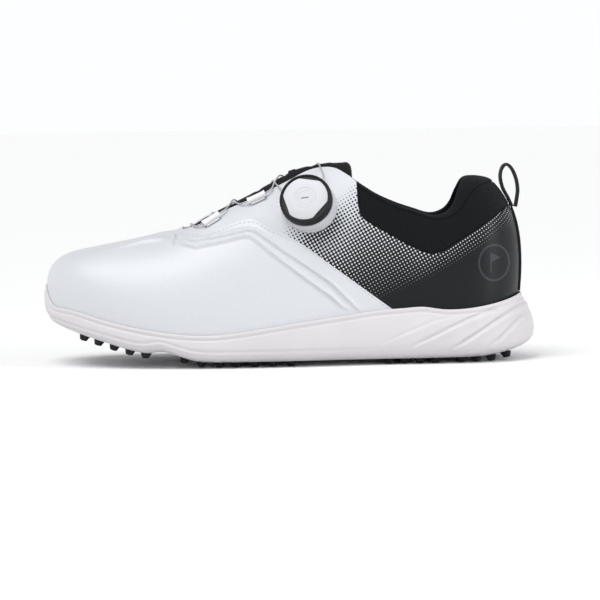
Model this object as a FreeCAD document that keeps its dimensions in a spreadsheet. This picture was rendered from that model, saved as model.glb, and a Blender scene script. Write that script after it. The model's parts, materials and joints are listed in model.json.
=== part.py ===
"""Left golf shoe with a reel closure, as a parametric model.

Millimetres. +X runs from toe to heel, -Y is the outer side of the foot, +Z is up.
The origin is on the ground under the middle of the shoe.
"""
import FreeCAD, Part
import Sketcher
import math
import os
from FreeCAD import Placement, Rotation, Vector

DIMENSIONS = {
    # upper, from the outside inwards
    "overlay_sheet": 1.1, "quarter_sheet": 1.4, "layer_gap": 0.15, "puff_sheet": 1.2,
    "counter_sheet": 1.5, "lining_sheet": 0.8, "collar_foam_depth": 5.6, "tongue_skin": 0.9,
    "tongue_foam_depth": 3.6, "tongue_half_width": 24.0,
    # bottoming
    "board_sheet": 1.2, "shank_sheet": 1.2, "shank_width": 22.0, "shank_length": 118.0,
    "footbed_sheet": 4.0, "cover_sheet": 0.8,
    # sole unit
    "outsole_wall": 4.4, "stud_height": 3.4, "stud_root": 3.3, "stud_tip": 2.1, "sole_fit": 0.2,
    # heel loop and strip
    "webbing": 1.8, "loop_width": 11.0, "strip_width": 8.0, "strip_sheet": 1.1,
    # tongue keeper
    "keeper_length": 5.0, "keeper_width": 9.0, "keeper_height": 2.2,
    # lace and guides
    "lace_width": 1.0, "guide_bore": 2.2, "guide_length": 11.6, "guide_face": 5.6,
    "guide_depth": 3.8, "guide_round": 1.3,
    # reel, radii and heights above the leather
    "ring_root": 16.7, "ring_top": 16.3, "ring_bore": 13.7, "ring_low": -3.6, "ring_floor": -2.4,
    "ring_high": 6.0, "cup_outer": 13.5, "cup_inner": 12.0, "cup_low": -2.2, "cup_floor": -1.2,
    "cup_shelf": 5.6, "cup_high": 8.9, "teeth_tip": 11.0, "teeth_root": 12.0, "teeth_count": 36,
    "post_radius": 2.4, "post_high": 5.8, "pilot_radius": 0.9, "port_high": 2.2, "port_radius": 0.9,
    "spool_rim": 10.6, "spool_core": 6.5, "spool_bore": 2.6, "spool_low": -1.0,
    "spool_floor": 0.2, "spool_shelf": 4.2, "spool_high": 5.2, "dog_inner": 7.0,
    "dog_outer": 9.4, "dog_high": 6.4, "dog_low": 5.6, "dog_count": 12, "dog_half": 0.9,
    "tooth_half": 0.5, "pawl_half": 1.6,
    "wound_outer": 9.3, "wound_inner": 6.6, "wound_low": 0.5, "wound_high": 3.9,
    "bush_bore": 1.95, "bush_outer": 3.8, "bush_lip": 4.6, "bush_low": 5.95, "bush_step": 6.5,
    "bush_high": 7.5, "screw_shank": 0.85, "screw_neck": 1.8, "screw_tip": -0.6,
    "screw_seat": 5.85, "screw_under": 9.6, "screw_high": 10.4, "screw_head": 3.2,
    "pawl_bore": 4.0, "pawl_outer": 9.7, "pawl_tip": 10.8, "pawl_low": 6.7, "pawl_high": 8.3,
    "pawl_count": 4, "knob_boss": 10.2, "knob_outer": 14.4, "knob_inner": 13.7,
    "knob_low": 6.6, "knob_plate": 9.2, "knob_high": 11.4, "knob_well": 3.6,
    "grip_outer": 15.85, "grip_low": 6.5, "grip_high": 12.2, "grip_land": 14.5,
    "cap_outer": 13.6, "cap_chord": 11.9, "cap_low": 11.5, "cap_rim": 12.4, "cap_high": 12.9,
    "cap_land": 9.0,
}

doc = FreeCAD.newDocument("golf_shoe")
sheet = doc.addObject("Spreadsheet::Sheet", "Dims")
for row_number, (alias, number) in enumerate(DIMENSIONS.items(), start=1):
    sheet.set(f"A{row_number}", alias)
    sheet.set(f"B{row_number}", str(number))
    sheet.setAlias(f"B{row_number}", alias)
doc.recompute()

parts = []


def size(alias):
    """A driving dimension read back from the sheet."""
    return float(getattr(sheet, alias))


# ---------------------------------------------------------------- the last, as one formula
# Each station of the last: the plan outline on the outer and inner side, the height of the
# feather edge, the point on the spine above it, then how the wall leans in, how square its
# shoulder is and how much it bulges. Station 0 is the toe tip, the last one the heel back.
STATIONS = [
    # outer x, y       inner x, y       feather  spine x, z       lean  shoulder  bulge
    (-146.5, 0.0,      -146.5, 0.0,      32.0,   -112.0, 70.0,    0.00, 5.2, 0.020),
    (-142.5, -14.5,    -145.0, 15.0,     31.8,   -110.0, 70.3,    0.00, 5.0, 0.020),
    (-131.0, -29.0,    -136.0, 30.5,     29.0,   -104.0, 71.8,    0.02, 4.4, 0.030),
    (-110.0, -41.0,    -115.0, 42.5,     23.3,   -91.0, 74.7,     0.06, 3.6, 0.040),
    (-80.0, -48.5,     -85.0, 48.5,      17.0,   -68.0, 79.5,     0.10, 3.2, 0.050),
    (-50.0, -51.5,     -55.0, 49.0,      13.0,   -50.0, 90.6,     0.18, 3.4, 0.050),
    (-23.0, -51.5,     -26.0, 45.0,      12.5,   -24.0, 103.6,    0.32, 5.0, 0.050),
    (6.0, -48.5,       5.0, 39.5,        15.0,   5.0, 117.6,      0.42, 7.0, 0.050),
    (36.0, -43.5,      35.0, 35.5,       18.0,   35.0, 122.7,     0.42, 7.0, 0.050),
    (65.0, -40.0,      65.0, 34.5,       21.0,   60.0, 126.0,     0.30, 5.0, 0.050),
    (95.0, -37.0,      95.0, 35.0,       23.0,   80.0, 125.0,     0.20, 4.0, 0.050),
    (118.0, -31.5,     118.0, 31.0,      24.0,   91.0, 123.0,     0.10, 4.0, 0.060),
    (132.5, -18.5,     132.5, 19.0,      24.5,   95.0, 121.5,     0.03, 4.2, 0.075),
    (138.5, 0.0,       138.5, 0.0,       25.0,   96.0, 121.0,     0.00, 4.2, 0.080),
]
# How the sole stands out from the last at the same stations: the tuck of its lower edge, its
# fullest line, its lip, how far up the wall the fullest line is, and the height of the lip.
SOLE_STATIONS = [
    (9.0, 3.5, 2.2, 0.75, 49.0), (8.0, 3.6, 2.2, 0.70, 38.5), (7.0, 3.8, 2.4, 0.60, 35.2),
    (6.0, 4.0, 2.6, 0.55, 29.3), (5.0, 4.2, 2.8, 0.50, 22.8), (5.0, 4.2, 2.8, 0.50, 20.0),
    (5.0, 4.0, 2.8, 0.50, 22.4), (5.0, 4.0, 2.6, 0.50, 26.7), (5.0, 4.2, 2.4, 0.50, 30.7),
    (5.0, 4.6, 2.2, 0.48, 33.8), (5.0, 5.2, 2.2, 0.46, 32.7), (5.5, 6.8, 2.4, 0.44, 34.8),
    (6.0, 9.6, 2.8, 0.43, 38.4), (6.0, 11.4, 3.1, 0.42, 40.7),
]
HEEL = len(STATIONS) - 1
AROUND = 2 * HEEL
UPRIGHT = math.pi / 2


class Loop:
    """A smooth closed curve of one value round the stations."""

    def __init__(self, outer, inner=None):
        inner = outer if inner is None else inner
        self.values = list(outer) + list(inner[-2:0:-1])
        self.slopes = [0.0] * AROUND
        for _ in range(40):
            self.slopes = [self.next_slope(i) for i in range(AROUND)]

    def next_slope(self, i):
        left, right = (i - 1) % AROUND, (i + 1) % AROUND
        rise = 3 * (self.values[right] - self.values[left])
        return (rise - self.slopes[left] - self.slopes[right]) / 4

    def at(self, u):
        cell = math.floor(u)
        f = u - cell
        i, j = cell % AROUND, (cell + 1) % AROUND
        start = self.values[i] * (1 + 2 * f) + self.slopes[i] * f
        end = self.values[j] * (3 - 2 * f) - self.slopes[j] * (1 - f)
        return start * (1 - f) ** 2 + end * f * f


class Curve:
    """A smooth height over x through a few points, level past its ends."""

    def __init__(self, *points):
        self.points = points
        self.slopes = []
        for i in range(len(points)):
            before, after = points[max(i - 1, 0)], points[min(i + 1, len(points) - 1)]
            self.slopes.append((after[1] - before[1]) / (after[0] - before[0]))

    def at(self, x):
        if x <= self.points[0][0]:
            return self.points[0][1]
        if x >= self.points[-1][0]:
            return self.points[-1][1]
        i = max(k for k in range(len(self.points) - 1) if self.points[k][0] <= x)
        (x0, y0), (x1, y1) = self.points[i], self.points[i + 1]
        f = (x - x0) / (x1 - x0)
        start = y0 * (1 + 2 * f) + self.slopes[i] * (x1 - x0) * f
        end = y1 * (3 - 2 * f) - self.slopes[i + 1] * (x1 - x0) * (1 - f)
        return start * (1 - f) ** 2 + end * f * f


columns = list(zip(*STATIONS))
plan_x = Loop(columns[0], columns[2])
plan_y = Loop(columns[1], columns[3])
feather, spine_x, spine_z, lean, shoulder, bulge = [Loop(column) for column in columns[4:]]
tuck, fullest, lip, full_at, lip_height = [Loop(column) for column in zip(*SOLE_STATIONS)]

ground_line = Curve((-140, 25.2), (-126, 19.8), (-110, 15), (-95, 10.8), (-85, 9.1), (-75, 10.0),
                    (-66, 7.2), (-57, 4.5), (-47, 3.5), (-38, 3.4), (0, 3.4), (110, 3.4),
                    (122, 3.7), (132, 5.0), (140, 7.4))
top_line = Curve((-66, 81), (-58, 83.4), (-50.9, 85.8), (-40.5, 92), (-26.4, 98), (-12.3, 104.3),
                 (-7.4, 106.8), (2, 111.4), (11, 116), (19, 118.2), (28, 118.1), (35.5, 114.3),
                 (44.2, 108), (54.8, 101.2), (66.5, 95.9), (78.2, 92), (87.6, 89.2), (93.9, 89.6),
                 (100.1, 92.6), (104.8, 98), (108, 104), (112.7, 109.5), (118.2, 111.8),
                 (126, 112.6))
foam_line = Curve((40, 86), (65, 73), (88, 66), (105, 74), (120, 79), (140, 79))


def outline(u, depth):
    """A point of the plan outline, moved inwards by depth."""
    edge = Vector(plan_x.at(u), plan_y.at(u), 0)
    spine = Vector(spine_x.at(u), 0, 0)
    along = Vector(plan_x.at(u + 0.02) - plan_x.at(u - 0.02),
                   plan_y.at(u + 0.02) - plan_y.at(u - 0.02), 0).normalize()
    inward = (spine - edge).normalize()
    square = abs(along.cross(inward).z)
    return edge + inward * (depth / square)


def last_point(u, lift, depth):
    """A point of the upper: lift runs from 0 at the feather edge to a right angle on the spine."""
    up = math.sin(lift)
    edge = outline(u, depth)
    spine = Vector(spine_x.at(u), 0, 0)
    reach = (1 - lean.at(u) * up) * math.sqrt(max(0.0, 1 - up ** shoulder.at(u)))
    reach *= 1 + 4 * bulge.at(u) * up * (1 - up)
    low, high = feather.at(u), spine_z.at(u) - depth
    flat = spine + (edge - spine) * reach
    return Vector(flat.x, flat.y, low + (high - low) * up)


def bisect(test, low, high, steps=40):
    """Where test changes from true to false."""
    for _ in range(steps):
        middle = (low + high) / 2
        if test(middle):
            low = middle
        else:
            high = middle
    return low


def lift_to(u, line, depth=0.0, above=0.0):
    """The lift at which the wall meets a height line."""
    def below(lift):
        point = last_point(u, lift, depth)
        return point.z < line.at(point.x) + above
    return bisect(below, 0.0, UPRIGHT)


def lift_at_width(u, half_width, depth):
    """The lift at which the wall has come in to a half width."""
    return bisect(lambda lift: abs(last_point(u, lift, depth).y) > half_width, 0.0, UPRIGHT)


def locate(x, z, inner_side=False):
    """The station and lift of the wall point seen at x and z from the side."""
    def lift_of(u):
        return math.asin(min(1.0, (z - feather.at(u)) / (spine_z.at(u) - feather.at(u))))
    u = bisect(lambda s: last_point(s, lift_of(s), 0).x < x, 1.0, HEEL - 1.0)
    lift = lift_of(u)
    return (AROUND - u, lift) if inner_side else (u, lift)


# ---------------------------------------------------------------- solids from curved patches
def spaced(start, end, count):
    return [start + (end - start) * i / (count - 1) for i in range(count)]


def even_curve(points):
    curve = Part.BSplineCurve()
    curve.interpolate(Points=points, Parameters=[float(i) for i in range(len(points))])
    return curve


def patch(function, us, vs):
    """A smooth surface through function(u, v)."""
    rows = [even_curve([function(u, v) for v in vs]) for u in us]
    nets = [row.getPoles() for row in rows]
    curves = [even_curve([net[j] for net in nets]) for j in range(len(nets[0]))]
    poles = [[curve.getPole(i + 1) for curve in curves] for i in range(curves[0].NbPoles)]
    surface = Part.BSplineSurface()
    surface.buildFromPolesMultsKnots(
        poles, curves[0].getMultiplicities(), rows[0].getMultiplicities(),
        curves[0].getKnots(), rows[0].getKnots(), False, False, curves[0].Degree, rows[0].Degree)
    return surface


def bridge(first, second):
    """A ruled face between two boundary curves."""
    return Part.makeRuledSurface(first.toShape(), second.toShape())


def closed_solid(faces):
    shell = Part.makeShell(faces)
    shell.sewShape()
    solid = Part.makeSolid(shell)
    if solid.Volume < 0:
        solid.reverse()
    if not solid.isValid() or not shell.isClosed():
        raise RuntimeError("patches don't close")
    return solid


def rim_of(surface, name):
    u0, u1, v0, v1 = surface.bounds()
    return {"start": lambda: surface.uIso(u0), "end": lambda: surface.uIso(u1),
            "low": lambda: surface.vIso(v0), "high": lambda: surface.vIso(v1)}[name]()


def slab(us, low, high, outer, inner, across=7):
    """A curved sheet between two depths; low, high and the depths are functions."""
    def at_depth(depth):
        def point(u, f):
            lift = low(u) + (high(u) - low(u)) * f
            return last_point(u, lift, depth(u, lift))
        return patch(point, us, spaced(0, 1, across))
    skins = [at_depth(outer), at_depth(inner)]
    faces = [skin.toShape() for skin in skins]
    for name in ("start", "end", "low", "high"):
        faces.append(bridge(rim_of(skins[0], name), rim_of(skins[1], name)))
    return closed_solid(faces)


def vault(us, low, outer, inner, across=9, tip_closed=False):
    """A sheet over the spine: both sides joined there, and round the toe when us starts at 0."""
    faces = []
    for side in (1, -1):
        skins = []
        for depth in (outer, inner):
            def point(u, f, depth=depth):
                lift = low(u) + (UPRIGHT - low(u)) * f
                return last_point(side * u, lift, depth)
            skins.append(patch(point, us, spaced(0, 1, across)))
        faces += [skin.toShape() for skin in skins]
        ends = ("end", "low") if tip_closed else ("start", "end", "low")
        for name in ends:
            faces.append(bridge(rim_of(skins[0], name), rim_of(skins[1], name)))
    return closed_solid(faces)


def plate(depth, low, high, along=53):
    """A sheet over the feather plane, as an insole is, between two heights above it."""
    us = spaced(0, HEEL, along)
    faces = []
    for side in (1, -1):
        skins = []
        for height in (low, high):
            def point(u, f, height=height):
                edge = outline(side * u, depth)
                return Vector(spine_x.at(u), 0, feather.at(u) + height) * (1 - f) \
                    + Vector(edge.x, edge.y, feather.at(u) + height) * f
            skins.append(patch(point, us, spaced(0, 1, 4)))
        faces += [skin.toShape() for skin in skins]
        faces.append(bridge(rim_of(skins[0], "high"), rim_of(skins[1], "high")))
    return closed_solid(faces)


def sole_wall(u, f):
    """A point of the sole's side, from its lower edge at 0 to the lip at 1."""
    side_u = u % AROUND
    inset, full, rim, peak = tuck.at(u), fullest.at(u), lip.at(u), full_at.at(u)
    if f < peak:
        out = -inset + (full + inset) * (1 - (1 - f / peak) ** 3.5)
    else:
        out = full - (full - rim) * ((f - peak) / (1 - peak)) ** 1.5
    low = ground_line.at(outline(side_u, inset).x)
    flat = outline(side_u, -out)
    return Vector(flat.x, flat.y, low + (lip_height.at(u) - low) * f)


def sole_floor(u, f, rise, start):
    """A point of a level in the sole, from the spine at 0 to the wall at 1."""
    edge = sole_wall(u, start)
    flat = Vector(spine_x.at(u), 0, 0) * (1 - f) + Vector(edge.x, edge.y, 0) * f
    level = ground_line.at(flat.x) + rise
    return Vector(flat.x, flat.y, level * (1 - f ** 6) + edge.z * f ** 6)


def wall_share(u, rise):
    """How far up the sole's wall a height above its lower edge is."""
    low = sole_wall(u, 0).z
    return rise / (lip_height.at(u) - low)


def add_shape(label, shape):
    """A piece whose curved shape is worked out above."""
    piece = doc.addObject("Part::Feature", label)
    piece.Label = label
    piece.Shape = shape
    piece.Placement = Placement()
    parts.append(piece)
    return piece


def side_prism(points, y_low=-80.0, y_high=80.0, smooth=None):
    """A block with an outline seen from the side; its first points may be a smooth curve."""
    corners = [Vector(x, y_low, z) for x, z in points]
    edges = []
    if smooth:
        edges.append(even_curve([Vector(x, y_low, z) for x, z in smooth]).toShape())
        corners = [Vector(smooth[-1][0], y_low, smooth[-1][1])] + corners
        corners.append(Vector(smooth[0][0], y_low, smooth[0][1]))
    else:
        corners.append(corners[0])
    for first, second in zip(corners, corners[1:]):
        edges.append(Part.makeLine(first, second))
    return Part.Face(Part.Wire(edges)).extrude(Vector(0, y_high - y_low, 0))


# ---------------------------------------------------------------- sole unit
US_HALF = spaced(0, HEEL, 79)


def make_outsole():
    faces = []
    rise = size("outsole_wall")
    for side in (1, -1):
        bottom = patch(lambda u, f: sole_floor(side * u, f, 0, 0), US_HALF, spaced(0, 1, 6))
        wall = patch(lambda u, f: sole_wall(side * u, f * wall_share(side * u, rise)),
                     US_HALF, spaced(0, 1, 7))
        top = patch(lambda u, f: sole_floor(side * u, f, rise, wall_share(side * u, rise)),
                    US_HALF, spaced(0, 1, 6))
        faces += [bottom.toShape(), wall.toShape(), top.toShape()]
    add_shape("outsole", closed_solid(faces))


def cup_point(u, f):
    """The inside of the midsole's cup, from the feather edge at 0 to the lip at 1."""
    depth = -size("overlay_sheet") - size("layer_gap") - size("sole_fit")
    top = bisect(lambda lift: last_point(u, lift, depth).z < lip_height.at(u), 0.0, UPRIGHT)
    point = last_point(u, top * f, depth)
    return point - Vector(0, 0, size("sole_fit") * (1 - f))


def make_midsole():
    faces = []
    rise = size("outsole_wall") + size("layer_gap")
    for side in (1, -1):
        def wall_point(u, f):
            start = wall_share(side * u, rise)
            return sole_wall(side * u, start + (1 - start) * f)

        def floor_point(u, f):
            edge = cup_point(side * u, 0)
            return Vector(spine_x.at(u), 0, edge.z) * (1 - f) + edge * f

        bottom = patch(lambda u, f: sole_floor(side * u, f, rise, wall_share(side * u, rise)),
                       US_HALF, spaced(0, 1, 6))
        wall = patch(wall_point, US_HALF, spaced(0, 1, 9))
        cup = patch(lambda u, f: cup_point(side * u, f), US_HALF, spaced(0, 1, 6))
        floor = patch(floor_point, US_HALF, spaced(0, 1, 4))
        faces += [bottom.toShape(), wall.toShape(), cup.toShape(), floor.toShape()]
        faces.append(bridge(rim_of(wall, "high"), rim_of(cup, "high")))
    add_shape("midsole", closed_solid(faces))


def stud(x, y):
    """One tapered stud under the outsole, square to its slope."""
    slope = (ground_line.at(x + 2) - ground_line.at(x - 2)) / 4
    cone = doc.addObject("Part::Cone", "Stud")
    cone.setExpression("Radius1", "Dims.stud_root")
    cone.setExpression("Radius2", "Dims.stud_tip")
    cone.setExpression("Height", "Dims.stud_height")
    down = Rotation(Vector(1, 0, 0), 180)
    tilt = Rotation(Vector(0, 1, 0), -math.degrees(math.atan(slope)))
    cone.Placement = Placement(Vector(x, y, ground_line.at(x)), tilt.multiply(down))
    return cone


def make_studs(label, rows, pitch_y):
    """Staggered rows of studs, as many in each as the sole is wide there."""
    cones = []
    for number, x in enumerate(rows):
        u_outer = bisect(lambda s: outline(s, 0).x < x, 0.0, float(HEEL))
        u_inner = bisect(lambda s: outline(-s, 0).x < x, 0.0, float(HEEL))
        low = outline(u_outer, tuck.at(u_outer) + size("stud_root") + 0.6).y
        high = outline(-u_inner, tuck.at(u_inner) + size("stud_root") + 0.6).y
        count = max(2, round((high - low) / pitch_y) + number % 2)
        cones += [stud(x, y) for y in spaced(low, high, count)]
    group = doc.addObject("Part::Compound", label)
    group.Label = label
    group.Links = cones
    parts.append(group)


# ---------------------------------------------------------------- bottoming
def make_bottoming():
    gap = size("layer_gap")
    under = size("quarter_sheet") + gap
    board = size("board_sheet")
    shank = board + gap + size("shank_sheet")
    footbed = shank + gap + size("footbed_sheet")
    add_shape("strobel_board", plate(under, 0, board))
    half = size("shank_width") / 2
    length = size("shank_length")
    whole = plate(under + 2, board + gap, shank)
    blank = Part.makeBox(length, 2 * half, 60, Vector(-30, -half, 0))
    corners = [edge for edge in blank.Edges if edge.BoundBox.ZLength > 50]
    add_shape("shank", whole.common(blank.makeFillet(half * 0.9, corners)))
    inside = size("quarter_sheet") + size("counter_sheet") + size("lining_sheet") + 4 * gap
    add_shape("insole", plate(inside, shank + gap, footbed))
    add_shape("insole_cover", plate(inside, footbed + gap, footbed + gap + size("cover_sheet")))


# ---------------------------------------------------------------- upper
VAMP_EDGE = [(-67.5, 84.6), (-64.5, 81.2), (-59.1, 80.3), (-50.9, 79.5), (-41.5, 82.1),
             (-29.8, 86.2), (-23.9, 87.4), (-19.2, 86.7), (-13.4, 83.3), (-2.8, 78.6),
             (9.7, 71.4)]
COLLAR_EDGE = [(41.8, 100), (43.2, 90.6), (50.9, 83.8), (62.6, 76.9), (73.6, 70.6),
               (84.5, 66.4), (90.7, 66.7), (101.7, 73), (113.4, 80), (125.2, 87.6), (134, 93.6)]
THROAT = 4.2


def level(value):
    return lambda *_: value


def make_vamp():
    thickness, gap = size("overlay_sheet"), size("layer_gap")
    whole = vault(spaced(0, 9.4, 61), level(0.0), -thickness - gap, -gap, tip_closed=True)
    throat = side_prism([(70, 27.5), (120, 27.5), (120, 150), (-67.5, 150)], smooth=VAMP_EDGE)
    add_shape("vamp", whole.cut(throat))
    puff = size("puff_sheet")
    add_shape("toe_puff", vault(spaced(0, 2.6, 17), level(0.0), 0.0, puff, tip_closed=True))
    add_shape("vamp_backing", vault(spaced(2.65, THROAT, 11), level(0.0), 0.0, puff))
    lining = puff + gap + size("lining_sheet")
    add_shape("vamp_lining", vault(spaced(0, THROAT, 27), level(0.0), puff + gap, lining,
                                   tip_closed=True))


def quarter_blank(side, us, top_drop=0.0):
    depth = size("quarter_sheet")
    return slab([side * u for u in us], level(0.0), lambda u: lift_to(u, top_line, 0, -top_drop),
                level(0.0), level(depth), across=11)


def reel_well():
    """The round hole that the reel's base fits through."""
    well = Part.makeCylinder(size("ring_root") + 0.2, 24, Vector(0, 0, -12))
    well.Placement = REEL.multiply(well.Placement)
    return well


def make_quarters():
    opening = side_prism([(148, 96), (148, 130), (41.5, 130)], smooth=COLLAR_EDGE)
    seam = size("layer_gap")
    for side, name in ((1, "lateral"), (-1, "medial")):
        us = spaced(THROAT + 0.1, HEEL - 0.02, 71)
        blank = quarter_blank(side, us)
        quarter = blank.cut(opening)
        if side == 1:
            quarter = quarter.cut(reel_well())
        add_shape(f"quarter_{name}", quarter)
        panel = blank.common(opening.translated(Vector(seam, 0, 2 * seam)))
        add_shape(f"collar_panel_{name}", panel)


def foam_share(u, lift):
    """0 below the collar foam, 1 at the rim."""
    point = last_point(u, lift, 0)
    low, high = foam_line.at(point.x), top_line.at(point.x)
    return min(1.0, max(0.0, (point.z - low) / (high - low)))


def lining_depth(u, lift):
    """The depth of the lining's outer face: behind the counter, and in behind the foam."""
    station = abs((u + HEEL) % AROUND - HEEL)
    back = min(1.0, max(0.0, (station - 8.45) / 1.4))
    back = back * back * (3 - 2 * back)
    base = size("quarter_sheet") + size("layer_gap")
    swell = math.sin(math.pi * 0.72 * foam_share(u, lift)) * size("collar_foam_depth")
    return base + back * (size("counter_sheet") + size("layer_gap") + swell)


def make_linings():
    gap, sheet_depth = size("layer_gap"), size("lining_sheet")
    us = spaced(THROAT + 0.1, AROUND - THROAT - 0.1, 121)
    board_top = size("board_sheet")

    def low(u):
        return math.asin((board_top + gap) / (spine_z.at(u) - feather.at(u)))

    lining = slab(us, low, lambda u: lift_to(u, top_line, 0, -1.0), lining_depth,
                  lambda u, lift: lining_depth(u, lift) + sheet_depth, 15)
    add_shape("quarter_lining", lining.cut(reel_well()))
    base = size("quarter_sheet") + gap
    counter = base + size("counter_sheet")
    shelf = Curve((100, 52), (112, 66), (124, 73), (140, 73))
    add_shape("heel_counter", slab(spaced(10.6, AROUND - 10.6, 41), level(0.02),
                                   lambda u: lift_to(u, shelf), level(base), level(counter)))
    # The foam stands on the counter's upper edge and fills the collar behind the knit.
    add_shape("collar_foam", slab(spaced(9.35, AROUND - 9.35, 61),
                                  lambda u: lift_to(u, foam_line, 0, 1.0),
                                  lambda u: lift_to(u, top_line, 0, -1.0),
                                  level(base),
                                  lambda u, lift: lining_depth(u, lift) - gap, 9))


def make_tongue():
    gap = size("layer_gap")
    outer = size("quarter_sheet") + size("lining_sheet") + 3 * gap
    skin = outer + size("tongue_skin")
    foam = skin + gap + size("tongue_foam_depth")
    lining = foam + gap + size("lining_sheet")
    half = size("tongue_half_width")
    us = spaced(THROAT + 0.1, 8.35, 27)

    def low(u):
        return lift_at_width(u, half, outer)

    add_shape("tongue_outer", vault(us, low, outer, skin).cut(reel_well()))
    add_shape("tongue_foam", vault(us[:-1], low, skin + gap, foam).cut(reel_well()))
    add_shape("tongue_lining", vault(us, low, foam + gap, lining))
    return outer


def bound_box(label, sizes, fillet, placement):
    """A rounded block whose sides follow the sheet."""
    box = doc.addObject("Part::Box", label + "_blank")
    for side, alias in zip(("Length", "Width", "Height"), sizes):
        box.setExpression(side, f"Dims.{alias}")
    centre = Vector(-size(sizes[0]) / 2, -size(sizes[1]) / 2, 0)
    box.Placement = placement.multiply(Placement(centre, Rotation()))
    doc.recompute()
    rounded = doc.addObject("Part::Fillet", label)
    rounded.Base = box
    rounded.Edges = [(i + 1, fillet, fillet) for i in range(12)]
    return rounded


def make_keeper(tongue_top):
    u = 7.0 - 0.06
    seat = last_point(u, UPRIGHT, tongue_top - 0.25)
    ahead = last_point(u + 0.1, UPRIGHT, tongue_top - 0.25)
    slope = math.degrees(math.atan2(ahead.z - seat.z, ahead.x - seat.x))
    place = Placement(seat, Rotation(Vector(0, 1, 0), -slope))
    keeper = bound_box("tongue_lace_keeper",
                       ("keeper_length", "keeper_width", "keeper_height"), 0.8, place)
    keeper.Label = "tongue_lace_keeper"
    parts.append(keeper)


def make_heel_trim():
    sheet_depth = size("strip_sheet")
    half = size("strip_width") / 2
    reach = bisect(lambda s: outline(HEEL - s, 0).y > -half, 0.0, 1.0)
    shelf = Curve((100, 41.2), (150, 41.2))
    summit = Curve((100, 91.6), (150, 91.6))
    gap = size("layer_gap")
    add_shape("heel_strip", slab(spaced(HEEL - reach, HEEL + reach, 5),
                                 lambda u: lift_to(u, shelf), lambda u: lift_to(u, summit),
                                 level(-sheet_depth - gap), level(-gap)))
    # The pull loop is one band of webbing, up along the heel, over and back down to the strip.
    middle = [(137, 92.9), (134.5, 98.4), (131.4, 104.4), (130, 111), (131.1, 116.3),
              (133.9, 118.5), (137.2, 115.6), (139.7, 109.4), (140.6, 103.2), (140, 97.6),
              (139.1, 92.7)]
    width = size("loop_width")
    line = even_curve([Vector(x, -width / 2, z) for x, z in middle])
    band = []
    for parameter in spaced(0.0, float(len(middle) - 1), 25):
        point, tangent = line.value(parameter), line.tangent(parameter)[0]
        normal = Vector(tangent.z, 0, -tangent.x) * (size("webbing") / 2)
        band.append((point + normal, point - normal))
    left = even_curve([pair[0] for pair in band])
    right = even_curve([pair[1] for pair in band])
    ends = [Part.makeLine(band[0][0], band[0][1]), Part.makeLine(band[-1][0], band[-1][1])]
    wire = Part.Wire(Part.__sortEdges__([left.toShape(), ends[0], right.toShape(), ends[1]]))
    add_shape("heel_loop", Part.Face(wire).extrude(Vector(0, width, 0)))


# ---------------------------------------------------------------- reel
REEL_AXIS = Vector(-0.170, -0.895, 0.412).normalize()
reel_across = Vector(0, 0, 1).cross(REEL_AXIS).normalize()
if reel_across.x < 0:
    reel_across = reel_across * -1
reel_up = REEL_AXIS.cross(reel_across)
reel_u, reel_lift = locate(12.6, 95.6)
REEL_CENTRE = last_point(reel_u, reel_lift, 0.0)
REEL = Placement(REEL_CENTRE, Rotation(reel_across, reel_up, REEL_AXIS, "XYZ"))
print("reel centre", REEL_CENTRE, "axis", REEL_AXIS)


def plane_of(body, role):
    return next(item for item in body.Origin.OriginFeatures if item.Role == role)


def new_body(label):
    body = doc.addObject("PartDesign::Body", label)
    body.Label = label
    return body


def read_term(term):
    """Sign, alias and offset of a term such as "ring_high - 0.5" or "-dog_half"."""
    words = term.split()
    offset = float(words[1] + words[2]) if len(words) == 3 else 0.0
    return (-1 if words[0].startswith("-") else 1), words[0].lstrip("-"), offset


def number_of(term):
    sign, alias, offset = read_term(term)
    return sign * size(alias) + offset


def formula_of(term):
    sign, alias, offset = read_term(term)
    return f"{sign} * Dims.{alias} + {offset}"


def closed_outline(sketch, corners):
    """Straight lines through corners, each corner held by expressions on the sheet."""
    rough = [Vector(0 if x is None else number_of(x), number_of(y), 0) for x, y in corners]
    for first, second in zip(rough, rough[1:] + rough[:1]):
        sketch.addGeometry(Part.LineSegment(first, second), False)
    count = len(corners)
    for i in range(count):
        sketch.addConstraint(Sketcher.Constraint("Coincident", i, 2, (i + 1) % count, 1))
    for i, (x, y) in enumerate(corners):
        if x is None:
            sketch.addConstraint(Sketcher.Constraint("PointOnObject", i, 1, -2))
        else:
            held = sketch.addConstraint(
                Sketcher.Constraint("DistanceX", -1, 1, i, 1, number_of(x)))
            sketch.setExpression(f"Constraints[{held}]", formula_of(x))
        held = sketch.addConstraint(Sketcher.Constraint("DistanceY", -1, 1, i, 1, number_of(y)))
        sketch.setExpression(f"Constraints[{held}]", formula_of(y))


def new_sketch(body, role, name):
    sketch = body.newObject("Sketcher::SketchObject", name)
    sketch.AttachmentSupport = [(plane_of(body, role), "")]
    sketch.MapMode = "FlatFace"
    return sketch


def turned(label, corners):
    """A body turned about the reel's axis; corners are (radius, height) pairs."""
    body = new_body(label)
    sketch = new_sketch(body, "XZ_Plane", label + "_profile")
    closed_outline(sketch, corners)
    turn = body.newObject("PartDesign::Revolution", label + "_turn")
    turn.Profile = sketch
    turn.ReferenceAxis = (sketch, ["V_Axis"])
    turn.Angle = 360
    doc.recompute()
    return body


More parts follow.
